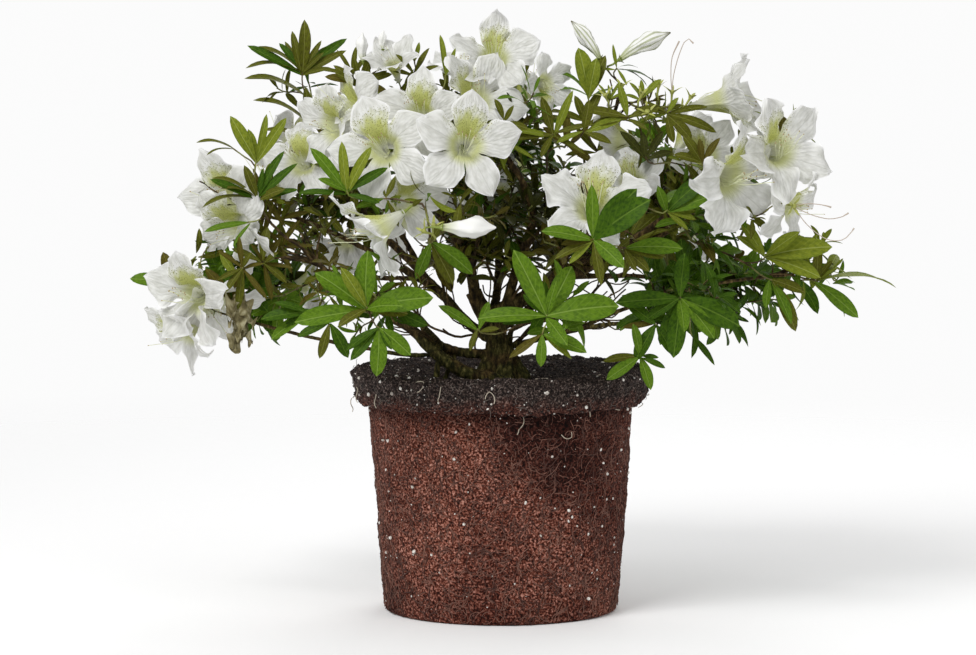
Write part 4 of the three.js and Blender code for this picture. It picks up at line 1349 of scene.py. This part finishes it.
def whorl_leaves(chance, end, way, count, length, form):
    """The leaves round a shoot's end: long ones low down that stand out, short ones on top."""
    side = way.orthogonal().normalized()
    other = way.cross(side)
    start = chance.uniform(0, 2 * math.pi)
    span = 0.004 + 0.0011 * count
    for i in range(count):
        share = i / max(1, count - 1)
        turn = start + i * GOLDEN_TURN + chance.uniform(-0.25, 0.25)
        out = side * math.cos(turn) + other * math.sin(turn)
        tilt = math.radians(84 - 50 * share**1.3 + chance.uniform(-16, 16))
        along = way * math.cos(tilt) + out * math.sin(tilt)
        upper = way * math.sin(tilt) - out * math.cos(tilt) + UP * 0.55
        size = length * (1 - 0.5 * share**1.6) * chance.uniform(0.6, 1.12)
        bow = chance.choice((0, 1, 1, 2) if share < 0.6 else (0, 0, 1))
        foot = end - way * span * (1 - share) + out * 0.0008
        yield leaf_spot(chance, foot, along, upper, size, form, bow)


def lone_leaves(chance, nodes, length, form):
    """Older leaves here and there on the last stretch of a twig."""
    for node in nodes[max(1, len(nodes) - 8) : -2]:
        if chance.random() < LONE_SHARE:
            way = stem_ways[node]
            out = way.orthogonal().normalized()
            out.rotate(Matrix.Rotation(chance.uniform(0, 2 * math.pi), 3, way))
            along = (out + way * chance.uniform(0.1, 0.9) + UP * 0.15).normalized()
            upper = UP + way * 0.4
            size = length * chance.uniform(0.45, 0.85)
            yield leaf_spot(chance, stem_places[node], along, upper, size, form, chance.choice((0, 1, 2)))


# Tones: the blade, its veins and its rim. Living leaves have a soft gloss; the light shows through.
LEAF_TONES = {
    "deep": ("#42610f", "#64802c", "#2d480b"),
    "bright": ("#5f7f1b", "#86a048", "#4a6816"),
    "light": ("#7f8a28", "#a3ad5c", "#66741f"),
    "olive": ("#5f6419", "#8b8c48", "#4d4c17"),
    "bronze": ("#5d571c", "#7d7638", "#4c4316"),
    # inner: the leaf colours darkened for leaves deep in the crown, painted shade.
    "inner": ("#3c4010", "#545728", "#2a2c0e"),
}
chance = random.Random(31)
leaf_spots = {tone: [] for tone in LEAF_TONES}
for index, (end, way, count, length, form, tone) in enumerate(whorls):
    leaf_spots[tone] += whorl_leaves(chance, end, way, count, length, form)
    older = "bronze" if chance.random() < 0.25 else tone
    leaf_spots[older] += lone_leaves(chance, twig_nodes[index], length, form)
# The leading sprays: broad sides to the front, but for the leaves of form "edge".
for mass, shares, _, kinds in LEADING_SPRAYS:
    end, way = spray_ends[mass, shares]
    for kind, *leaves in kinds:
        tone, form = kind.split()
        on_edge = form == "edge"
        for angle, length, lean in leaves:
            a, e = math.radians(angle), math.radians(lean)
            along = Vector((math.cos(a) * math.cos(e), -math.sin(e), math.sin(a) * math.cos(e)))
            upper = Vector((0, -0.25, 1)) if on_edge else Vector((chance.uniform(-0.3, 0.3), -0.85, 0.5))
            foot = end - way * chance.uniform(0, 0.004) + along * 0.0005
            shape, bow = ("slim", 2) if on_edge else (form, chance.choice((0, 1, 1)))
            leaf_spots[tone].append(leaf_spot(chance, foot, along, upper, length / 1000, shape, bow))
# Small leaves stand round the foot of each truss of bloom.
for index, (_, way, *_) in enumerate(blooms, len(whorls)):
    foot = ends[index][0] - way * 0.004
    for spot in whorl_leaves(chance, foot, way, TRUSS_LEAVES, TRUSS_LEAF_LENGTH, "narrow"):
        leaf_spots[chance.choice(("light", "olive", "bright"))].append(spot)


def off_middle(tree, across, parts):
    """How far a spot of a chart is from the middle of its part, of so many side by side."""
    counted = add(tree, "Math", {0: across, 1: parts}, operation="MULTIPLY")["Value"]
    within = add(tree, "Math", {0: counted}, operation="FRACT")["Value"]
    offset = add(tree, "Math", {0: within, 1: 0.5}, operation="SUBTRACT")["Value"]
    return add(tree, "Math", {0: offset}, operation="ABSOLUTE")["Value"]


def let_through(tree, shader, colour, share):
    """Lets light through a thin blade or petal, tinted by colour; share is how much of it."""
    through = add(tree, "BsdfTranslucent", {"Color": colour})["BSDF"]
    both = add(tree, "MixShader", {"Fac": share, 1: shader.outputs["BSDF"], 2: through})["Shader"]
    tree.links.new(both, tree.nodes["Material Output"].inputs["Surface"])


for tone, (blade, vein, rim) in LEAF_TONES.items():
    leaf, tree, shader = new_material(f"Azalea leaf, {tone}", {"Roughness": 0.5, "Specular IOR Level": 0.10})
    chart = add(tree, "UVMap", uv_map="OFBake")["UV"]
    sides = add(tree, "SeparateXYZ", {0: chart})
    beside = off_middle(tree, sides["X"], 4.0)
    midrib = add(tree, "MapRange", {0: beside, 1: 0.035, 2: 0.008, 4: 0.75})["Result"]
    # Side veins leave the midrib at a slant, nine to each side.
    slant = add(tree, "Math", {0: beside, 1: -0.55, 2: sides["Y"]}, operation="MULTIPLY_ADD")["Value"]
    waves = add(tree, "Math", {0: slant, 1: 56.0}, operation="MULTIPLY")["Value"]
    ridges = add(tree, "Math", {0: waves}, operation="SINE")["Value"]
    side_veins = add(tree, "MapRange", {0: ridges, 1: 0.80, 2: 1.0, 4: 0.16})["Result"]
    veins = add(tree, "Math", {0: midrib, 1: side_veins}, operation="MAXIMUM")["Value"]
    mottle_chart = add(tree, "Mapping", {"Vector": chart, "Scale": (34, 14, 1)})["Vector"]
    mottle = add(tree, "TexNoise", {"Vector": mottle_chart, "Scale": 1.0, "Detail": 4})["Fac"]
    spread = add(tree, "MapRange", {0: mottle, 1: 0.36, 2: 0.58})["Result"]
    margin = add(tree, "MapRange", {0: beside, 1: 0.44, 2: 0.36})["Result"]
    shade = add(tree, "Math", {0: spread, 1: margin}, operation="MULTIPLY")["Value"]
    shaded = add(tree, "Mix", {0: shade, 6: linear(rim), 7: linear(blade)}, data_type="RGBA")[2]
    veined = add(tree, "Mix", {0: veins, 6: shaded, 7: linear(vein)}, data_type="RGBA")[2]
    relief = add(tree, "Math", {0: mottle, 1: veins}, operation="SUBTRACT")["Value"]
    finish_surface(tree, shader, veined, relief, 0.4, 0.0008)
    let_through(tree, shader, veined, 0.25)
    leaves = set_out_by(f"leaves_{tone}", leaf_forms, leaf_spots[tone], leaf)
    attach(leaves, "root")
    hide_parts(*[name for name in frame["nodes"] if name.startswith("mass_")])


# ---- Blooms: corollas ----
# White funnels about 85 mm across, of five lobes grown together for their first 27 mm. Petal is
# thin and crisp, ruffled at the margin, grooved down each lobe, and each lobe overlaps the next.
LOBES = 5
LOBE_COLUMNS = 12
LOBE_ROWS = 27
LOBE_LENGTH = 0.062  # along the petal, from foot to tip
SINUS = 0.026  # along the petal, where the lobes part
TUBE_FOOT = 0.0025
# Along the petal in mm: its slope from the axis in degrees when it is wide open.
SLOPES = ((0, 10, 20, 28, 36, 44, 52, 62), (8, 17, 29, 44, 66, 79, 86, 97))
# Along the petal in mm: half the width of a free lobe in mm.
WIDTHS_AT = (26, 30, 35, 40, 45, 50, 54, 57.5, 60.4, 62)
WIDTHS = (WIDTHS_AT, (8.2, 9.8, 12.8, 15.6, 16.3, 14.4, 10.9, 6.8, 2.8, 0.3))
# Kinds: how far open, how unlike the lobes are, how wavy, and how many are made.
COROLLAS = {
    "flat": {"open": 1.0, "uneven": 8, "wave": 0.0013, "count": 3},
    "open": {"open": 0.88, "uneven": 12, "wave": 0.0027, "count": 5},
    "aged": {"open": 1.02, "uneven": 25, "wave": 0.0030, "count": 4},
    "funnel": {"open": 0.58, "uneven": 9, "wave": 0.0027, "count": 3},
    "withered": {"open": 0.36, "uneven": 34, "wave": 0.0062, "count": 0},
    "limp": {"open": 1.12, "uneven": 40, "wave": 0.0034, "count": 3},
    "ruffled": {"open": 0.88, "uneven": 15, "wave": 0.0040, "count": 4},
}


def corolla(kind, seed):
    """One corolla, its foot at the origin, opening towards +Z, its blotched lobe towards +Y."""
    look, chance = COROLLAS[kind], random.Random(seed)
    points, corners, faces = [], [], []
    wide = LOBE_COLUMNS + 1
    for lobe in range(LOBES):
        middle = math.pi / 2 + 2 * math.pi * lobe / LOBES
        out, beside = round_axes(middle)
        own_bend = math.radians(chance.uniform(-1, 0.7) * look["uneven"])
        own_curl = math.radians(chance.uniform(-0.5, 1.6) * look["uneven"])
        own_twist = math.radians(chance.uniform(-1, 1) * look["uneven"] * 0.7)
        own_width = chance.uniform(0.88, 1.04)
        own_skew = chance.uniform(-0.004, 0.004)
        phase, beat = chance.uniform(0, 6.28), chance.uniform(150, 230)
        ruffle, crimp = chance.uniform(380, 520), chance.uniform(0.5, 1.1) * look["wave"]
        radius, height, before = TUBE_FOOT, 0.0, 0.0
        for i in range(LOBE_ROWS + 1):
            along = LOBE_LENGTH * (i / LOBE_ROWS) ** 0.93
            free = min(1, max(0, (along - SINUS) / (LOBE_LENGTH - SINUS)))
            slope = math.radians(float(np.interp(along * 1000, *SLOPES))) * look["open"]
            slope += own_bend * min(1, free * 2.5) + own_curl * free**2
            radius += (along - before) * math.sin(slope)
            height += (along - before) * math.cos(slope)
            before = along
            round_half = radius * math.pi / LOBES
            half = round_half
            if free:
                half = float(np.interp(along * 1000, *WIDTHS)) / 1000 * own_width
                half = max(half, round_half) if free < 0.02 else half
            hug = 1 - 0.55 * min(1, free * 2)
            normal = out * -math.cos(slope) + Vector((0, 0, math.sin(slope)))
            ease = min(1, free * 4)
            for j in range(wide):
                p = 2 * j / LOBE_COLUMNS - 1
                side = 1 if p > 0 else -1
                edge = 1 + 0.06 * ease * abs(p) ** 3 * math.sin(phase * 3 + side + ruffle * 0.8 * along)
                turn = p * half * edge / radius * hug
                flat = p * half * edge * (1 - hug) + own_skew * free**2
                spot = (out * math.cos(turn) + beside * math.sin(turn)) * radius + beside * flat
                spot = spot + Vector((0, 0, height))
                lift = look["wave"] * abs(p) ** 2.5 * math.sin(phase + beat * along + 1.5 * p) * ease
                lift += 0.5 * look["wave"] * p * math.sin(phase * 2 + beat * 0.6 * along) * ease
                lift += crimp * abs(p) ** 3.5 * math.sin(phase * 5 + 2 * side + ruffle * along) * ease
                lift -= 0.0012 * math.exp(-((p / 0.16) ** 2)) * min(1, along / 0.02) * (1 - free**4)
                lift += 0.0006 * math.cos(9.4 * p) * ease * (1 - free)
                lift += half * p * math.sin(own_twist + math.radians(9)) * ease
                lift -= 0.0026 * p * p * ease * free
                points.append(spot + normal * lift)
                corners.append(((lobe + (p + 1) / 2) / LOBES, 0.01 + 0.98 * along / LOBE_LENGTH))
        faces += grid_faces(LOBE_ROWS, wide, lobe * wide * (LOBE_ROWS + 1))
    made = with_uv(mesh_piece("corolla", points, faces), corners)
    joined = bmesh.new()
    joined.from_mesh(made.data)
    bmesh.ops.remove_doubles(joined, verts=joined.verts, dist=0.00005)
    joined.to_mesh(made.data)
    joined.free()
    return made


first_corolla, corolla_shapes = {}, []
for kind, look in COROLLAS.items():
    first_corolla[kind] = len(corolla_shapes)
    corolla_shapes += [corolla(kind, 100 * len(first_corolla) + seed) for seed in range(look["count"])]
corolla_forms = shape_box("corolla_form", corolla_shapes)


def bloom_axes(way, roll):
    """A turn that brings +Z to way and +Y as near up as it can, and then rolls it."""
    upper = UP if abs(way.z) < 0.97 else Vector((0, 1, 0))
    y = (upper - way * upper.dot(way)).normalized()
    y.rotate(Matrix.Rotation(math.radians(roll), 3, way))
    return Matrix((y.cross(way), y, way)).transposed()


corolla_spots, truss_spots = [], []
for index, (mouth, way, roll, kind, size) in enumerate(blooms):
    turn = bloom_axes(way, roll)
    foot = mouth - way * COROLLA_DEPTH * size
    form = first_corolla[kind] + index % COROLLAS[kind]["count"]
    corolla_spots.append((form, foot, turn, (size, size, size)))
    truss_spots.append((index % 3, foot, turn, (size, size, size)))

# Petal: white, thin enough for light to come through, with a green-gold throat, and a blotch of
# green-gold specks over the top lobe and the near sides of its two neighbours.
thin = {"Roughness": 0.5, "Specular IOR Level": 0.25}
petal, tree, shader = new_material("White azalea petal", thin)
chart = add(tree, "UVMap", uv_map="OFBake")["UV"]
sides = add(tree, "SeparateXYZ", {0: chart})
beside = off_middle(tree, sides["X"], 5.0)
# Veins fan out from the midline of each lobe.
fan = add(tree, "Math", {0: beside, 1: 0.35}, operation="MULTIPLY")["Value"]
fan_turn = add(tree, "Math", {0: sides["Y"], 1: -0.22, 2: fan}, operation="MULTIPLY_ADD")["Value"]
wrinkle_chart = add(tree, "Mapping", {"Vector": chart, "Scale": (40, 7, 1)})["Vector"]
wrinkles = add(tree, "TexNoise", {"Vector": wrinkle_chart, "Scale": 1.0, "Detail": 4})["Fac"]
fan_bent = add(tree, "Math", {0: wrinkles, 1: 0.05, 2: fan_turn}, operation="MULTIPLY_ADD")["Value"]
fan_waves = add(tree, "Math", {0: fan_bent, 1: 170.0}, operation="MULTIPLY")["Value"]
fan_lines = add(tree, "Math", {0: fan_waves}, operation="SINE")["Value"]
vein = add(tree, "MapRange", {0: fan_lines, 1: 0.2, 2: 1.0, 4: 0.06})["Result"]
# The grey of the crinkle mottle is darkest where the crinkle bump sinks: painted shade in the crinkles.
shades = add(tree, "ValToRGB", {"Fac": wrinkles}, stops=[(0.34, "#d5d5cf"), (0.66, "#efefec")])["Color"]
# The grey line down the middle of each lobe lies in the groove of its mesh: painted shade in the crease.
painted_groove_shade = add(tree, "MapRange", {0: beside, 1: 0.020, 2: 0.004, 4: 0.45})["Result"]
lines = add(tree, "Math", {0: vein, 1: painted_groove_shade}, operation="MAXIMUM")["Value"]
lined = add(tree, "Mix", {0: lines, 6: shades, 7: linear("#b9bab2")}, data_type="RGBA")[2]
# The rim of a lobe is thinner than the rest, and is painted white there: a painted rim light.
to_tip = add(tree, "MapRange", {0: sides["Y"], 1: 0.90, 2: 1.0})["Result"]
to_side = add(tree, "MapRange", {0: beside, 1: 0.40, 2: 0.5})["Result"]
lobe_only = add(tree, "MapRange", {0: sides["Y"], 1: 0.5, 2: 0.65})["Result"]
side_rim_light = add(tree, "Math", {0: to_side, 1: lobe_only}, operation="MULTIPLY")["Value"]
rim = add(tree, "Math", {0: to_tip, 1: side_rim_light}, operation="MAXIMUM")["Value"]
rim_lit_petal = add(tree, "Mix", {0: rim, 6: lined, 7: linear("#ffffff")}, data_type="RGBA")[2]
# The throat is green-gold, painted lighter than its own green-gold to offset the shade deep in the tube:
# painted light. The tube itself is nearly white: the colour gathers at the mouth.
throat = add(tree, "MapRange", {0: sides["Y"], 1: 0.56, 2: 0.34}, **SMOOTH)["Result"]
at_mouth = add(tree, "MapRange", {0: sides["Y"], 1: 0.16, 2: 0.36, 3: 0.25, 4: 0.9})["Result"]
throat_share = add(tree, "Math", {0: throat, 1: at_mouth}, operation="MULTIPLY")["Value"]
throated = add(tree, "Mix", {0: throat_share, 6: rim_lit_petal, 7: linear("#d3d794")}, data_type="RGBA")[2]
# The blotch: how near a spot of the chart is to the top lobe's midline, round the seam as well.
BLOTCH_MIDDLE = 0.43
BLOTCH_SIZE = (0.15, 0.37, 1)

around = add(tree, "Math", {0: sides["X"], 1: 0.4}, operation="ADD")["Value"]
wrapped = add(tree, "Math", {0: around}, operation="FRACT")["Value"]
from_top = add(tree, "Math", {0: wrapped, 1: 0.5}, operation="SUBTRACT")["Value"]
up_lobe = add(tree, "Math", {0: sides["Y"], 1: BLOTCH_MIDDLE}, operation="SUBTRACT")["Value"]
flat_chart = add(tree, "CombineXYZ", {"X": from_top, "Y": up_lobe})["Vector"]
oval_reach = reach_from(tree, flat_chart, (0, 0, 0), BLOTCH_SIZE)
broken = add(tree, "Math", {0: wrinkles, 1: 0.9, 2: oval_reach}, operation="MULTIPLY_ADD")["Value"]
blotch = add(tree, "MapRange", {0: broken, 1: 1.45, 2: 0.85}, **SMOOTH)["Result"]
blotch_share = add(tree, "Math", {0: blotch, 1: at_mouth}, operation="MULTIPLY")["Value"]
blotched = add(tree, "Mix", {0: blotch_share, 6: throated, 7: linear("#bdc263")}, data_type="RGBA")[2]
speck_chart = add(tree, "Mapping", {"Vector": chart, "Scale": (120, 44, 1)})["Vector"]
specks = add(tree, "TexVoronoi", {"Vector": speck_chart, "Scale": 1.0, "Randomness": 0.9})["Distance"]
dots = add(tree, "MapRange", {0: specks, 1: 0.36, 2: 0.22})["Result"]
speck_zone = add(tree, "MapRange", {0: oval_reach, 1: 1.20, 2: 0.85}, **SMOOTH)["Result"]
speckled = add(tree, "Math", {0: dots, 1: speck_zone}, operation="MULTIPLY")["Value"]
petal_colour = add(tree, "Mix", {0: speckled, 6: blotched, 7: linear("#7d8036")}, data_type="RGBA")[2]
crinkles = add(tree, "Math", {0: fan_lines, 1: 0.45, 2: wrinkles}, operation="MULTIPLY_ADD")["Value"]
finish_surface(tree, shader, petal_colour, crinkles, 0.45, 0.0008)
let_through(tree, shader, petal_colour, 0.28)

petals = set_out_by("corollas", corolla_forms, corolla_spots, petal)
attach(petals, "root")


# ---- Blooms: stamens ----
# Ten fine white stamens and a longer style. They lie along the lower side of the tube and curve
# up past the mouth, each with a small brown anther.
STAMENS = 10
STYLE_REACH = 0.062
STAMEN_STEPS = 7


def stamens(seed, part):
    """Filaments or anthers of one bloom, its foot at the origin, facing +Z."""
    chance = random.Random(seed)
    points, faces = [], []
    for i in range(STAMENS + 1):
        is_style = i == STAMENS
        spread = math.radians(-34 + 6.8 * i if not is_style else 4) + chance.uniform(-0.06, 0.06)
        reach = STYLE_REACH if is_style else chance.uniform(0.036, 0.048)
        sag, rise = chance.uniform(0.003, 0.007), chance.uniform(0.006, 0.014)
        line = []
        for k in range(STAMEN_STEPS + 1):
            t = k / STAMEN_STEPS
            y = -0.001 - sag * math.sin(math.pi * min(1, t * 1.2)) + rise * t**3
            x = math.sin(spread) * reach * 0.42 * t**1.3
            line.append((Vector((x, y, 0.004 + (reach - 0.004) * t)), 0.00034 if is_style else 0.00023))
        if part == "filaments":
            tube = tube_mesh(line, 3)
        else:
            end, ahead = line[-1][0], (line[-1][0] - line[-2][0]).normalized()
            size, across = (0.0005, ahead) if is_style else (0.00055, Vector((0, 1, 0.3)))
            head = [(end - across * size * 1.2, size * 0.6), (end, size), (end + across * size, size * 0.5)]
            tube = tube_mesh(head, 5)
        faces += [[len(points) + n for n in face] for face in tube[1]]
        points += tube[0]
    return mesh_piece(part, points, faces)


filament, *_ = new_material("White stamen filaments", {"Base Color": linear("#dfe2bd"), "Roughness": 0.5})
anther, *_ = new_material("Brown anthers", {"Base Color": linear("#a8946a"), "Roughness": 0.7})
for part, finish in (("filaments", filament), ("anthers", anther)):
    forms = shape_box(part + "_form", [stamens(seed, part) for seed in (61, 62, 63)])
    made = set_out_by(part, forms, truss_spots, finish)
    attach(made, "root")


# ---- Blooms: stalks and calyxes ----
# A hairy green stalk under each corolla, swollen at its top, with a star of five pointed sepals.
# Where a corolla has dropped the star stands open, and may keep its style.
def calyx(seed, reach, half, rise):
    """Stalk and sepals, the sepals that long and half that wide, lifting by rise at the tip."""
    chance = random.Random(seed)
    bow = Vector((chance.uniform(-0.002, 0.002), chance.uniform(-0.002, 0.002), 0))
    line = [(Vector((0, 0, -0.0125)), 0.0008), (Vector((0, 0, -0.007)) + bow, 0.0009)]
    line += [(Vector((0, 0, -0.002)), 0.0011), (Vector((0, 0, 0.0)), 0.0021), (Vector((0, 0, 0.002)), 0.0024)]
    points, faces = tube_mesh(line, 6)
    for k in range(5):
        turn = 2 * math.pi * k / 5 + chance.uniform(-0.2, 0.2)
        out, beside = round_axes(turn)
        first, own = len(points), chance.uniform(0.8, 1.2)
        for share, wide in ((0, 0.85), (0.4, 1.0), (0.75, 0.6), (1, 0.08)):
            up = 0.0006 + rise * share - 0.4 * rise * share**2
            foot = out * (0.0022 + reach * own * share) + Vector((0, 0, up))
            points += [foot - beside * half * wide, foot + beside * half * wide]
        faces += [(first + i, first + i + 1, first + i + 3, first + i + 2) for i in (0, 2, 4)]
    return mesh_piece("calyx", points, faces)


sepal, *_ = new_material("Green calyx", {"Base Color": linear("#7c8a38"), "Roughness": 0.65})
calyx_forms = shape_box("calyx_form", [calyx(seed, 0.0034, 0.0014, 0.003) for seed in (71, 72, 73)])
truss_spots += [(i % 3, foot, bloom_axes(way, 50 * i), (1, 1, 1)) for i, (foot, way, _, _) in enumerate(buds)]
calyxes = set_out_by("calyxes", calyx_forms, truss_spots, sepal)
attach(calyxes, "root")

pale_sepal, *_ = new_material("Yellow-green calyx", {"Base Color": linear("#a2a653"), "Roughness": 0.65})
star_forms = shape_box("star_form", [calyx(seed, 0.0075, 0.0012, 0.007) for seed in (74, 75, 76)])
star_spots = [(i % 3, foot, bloom_axes(way, 40 * i), (1, 1, 1)) for i, (foot, way) in enumerate(spent)]
stars = set_out_by("spent_calyxes", star_forms, star_spots, pale_sepal)
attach(stars, "root")

# Styles that outlive their corollas: number of the spent calyx, and a path from it in mm.
OLD_STYLES = [
    (4, ((0, 0, 0), (1, -2, 14), (5, -3, 30), (10, -4, 43), (14, -5, 46), (18, -5, 42))),
    (4, ((0, 0, 0), (-1, 1, 14), (0, 1, 30), (6, 0, 44))),
    (11, ((0, 0, 0), (12, -2, 2), (24, -3, 1), (32, -3, -1))),
    (11, ((0, 0, 0), (14, 0, -7), (30, 0, -11), (42, 0, -9), (47, 0, -6))),
    (11, ((0, 0, 0), (12, 2, -16), (28, 2, -28), (42, 2, -29), (50, 2, -22), (52, 2, -19))),
]
style_paths = []
for number, path in OLD_STYLES:
    stops = [(spent[number][0] + Vector(p) / 1000, 0.0004) for p in path]
    stops[-1] = (stops[-1][0], 0.0008)
    style_paths.append(run_through(stops, 0.004))
style_skin, *_ = new_material("Pink-grey style", {"Base Color": linear("#b7a99b"), "Roughness": 0.6})
styles = swept("old_styles", style_paths, 5, style_skin)
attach(styles, "root")

# ---- Blooms: buds ----
# Closed buds, furrowed and twisted where the five petals overlap. The ones in the upper crown
# are striped green; the others are ready to open and white.
BUD_ROWS = 16
BUD_SIDES = 20
BUD_GIRTH = ((0, 0.12, 0.35, 0.6, 0.76, 0.89, 1), (0.035, 0.06, 0.11, 0.158, 0.13, 0.052, 0.010))


def bud(cell, twist):
    """A bud of unit length from its foot at the origin along +Z; cell is its part of the chart."""
    points, corners = [], []
    for i in range(BUD_ROWS + 1):
        t = i / BUD_ROWS
        for j in range(BUD_SIDES + 1):
            turn = 2 * math.pi * j / BUD_SIDES
            furrow = abs(math.cos(2.5 * (turn - twist * t))) ** 4
            rough = 0.10 * math.sin(9 * t + turn) + 0.06 * math.sin(23 * t + 4 * turn)
            reach = float(np.interp(t, *BUD_GIRTH)) * (1 + rough - 0.3 * furrow)
            bow = 0.05 * math.sin(math.pi * t)
            points.append((reach * math.cos(turn) + bow, reach * math.sin(turn), t))
            corners.append(((cell + 0.02 + 0.96 * j / BUD_SIDES) / 2, 0.02 + 0.96 * t))
    return with_uv(mesh_piece("bud", points, grid_faces(BUD_ROWS, BUD_SIDES + 1)), corners)


BUD_STRIPES = 20
bud_petal, tree, shader = new_material("White bud petal, green veins", {"Roughness": 0.55})
chart = add(tree, "UVMap", uv_map="OFBake")["UV"]
sides = add(tree, "SeparateXYZ", {0: chart})
turns = add(tree, "Math", {0: sides["X"], 1: 2 * math.pi * BUD_STRIPES}, operation="MULTIPLY")["Value"]
lines = add(tree, "Math", {0: turns}, operation="SINE")["Value"]
stripes = add(tree, "MapRange", {0: lines, 1: 0.0, 2: 0.8, 4: 0.75})["Result"]
is_striped = add(tree, "MapRange", {0: sides["X"], 1: 0.5, 2: 0.499})["Result"]
striped = add(tree, "Math", {0: stripes, 1: is_striped}, operation="MULTIPLY")["Value"]
bud_white = add(tree, "Mix", {0: striped, 6: linear("#e6e6e2"), 7: linear("#8d9560")}, data_type="RGBA")[2]
foot_green = add(tree, "MapRange", {0: sides["Y"], 1: 0.35, 2: 0.0})["Result"]
bud_tint = add(tree, "Mix", {0: foot_green, 6: bud_white, 7: linear("#aab271")}, data_type="RGBA")[2]
bud_tip = add(tree, "MapRange", {0: sides["Y"], 1: 0.86, 2: 0.97})["Result"]
dark_tip = add(tree, "Math", {0: bud_tip, 1: is_striped}, operation="MULTIPLY")["Value"]
bud_colour = add(tree, "Mix", {0: dark_tip, 6: bud_tint, 7: linear("#55522f")}, data_type="RGBA")[2]
tree.links.new(bud_colour, shader.inputs["Base Color"])
bud_forms = shape_box("bud_form", [bud(0, 1.3), bud(1, 0.7)])
bud_spots = []
for i, (foot, way, form, length) in enumerate(buds):
    wide = length * (1.35 if form == "white" else 1.1)
    bud_spots.append((0 if form == "striped" else 1, foot, bloom_axes(way, 50 * i), (wide, wide, length)))
closed = set_out_by("buds", bud_forms, bud_spots, bud_petal)
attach(closed, "root")

# ---- Blooms: withered corolla ----
# An old corolla low on the left has gone over: a shrivelled brown rag that hangs by its foot.
# Each: mass, shares of its box at the foot, azimuth and elevation, size.
WITHERED = [
    ("low_left_bloom", (0.81, 0.37, 0.90), -20, -84, 1.0),
    ("low_left_bloom", (0.76, 0.50, 0.66), 30, -80, 0.86),
]
withered_forms = shape_box("withered_form", [corolla("withered", seed) for seed in (901, 902)])
withered_spots = []
for i, (mass, shares, azimuth, elevation, size) in enumerate(WITHERED):
    turn = bloom_axes(facing(azimuth, elevation), 30)
    withered_spots.append((i, in_mass(mass, *shares), turn, (0.50 * size, 0.34 * size, 1.06 * size)))
BROWN_STOPS = [(0.38, "#5a5130"), (0.5, "#807750"), (0.62, "#aaa382")]
brown_petal = mottled("Withered petal", {"Roughness": 0.8}, 9, 3, BROWN_STOPS, uv_map="OFBake")
withered = set_out_by("withered_corollas", withered_forms, withered_spots, brown_petal)
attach(withered, "root")
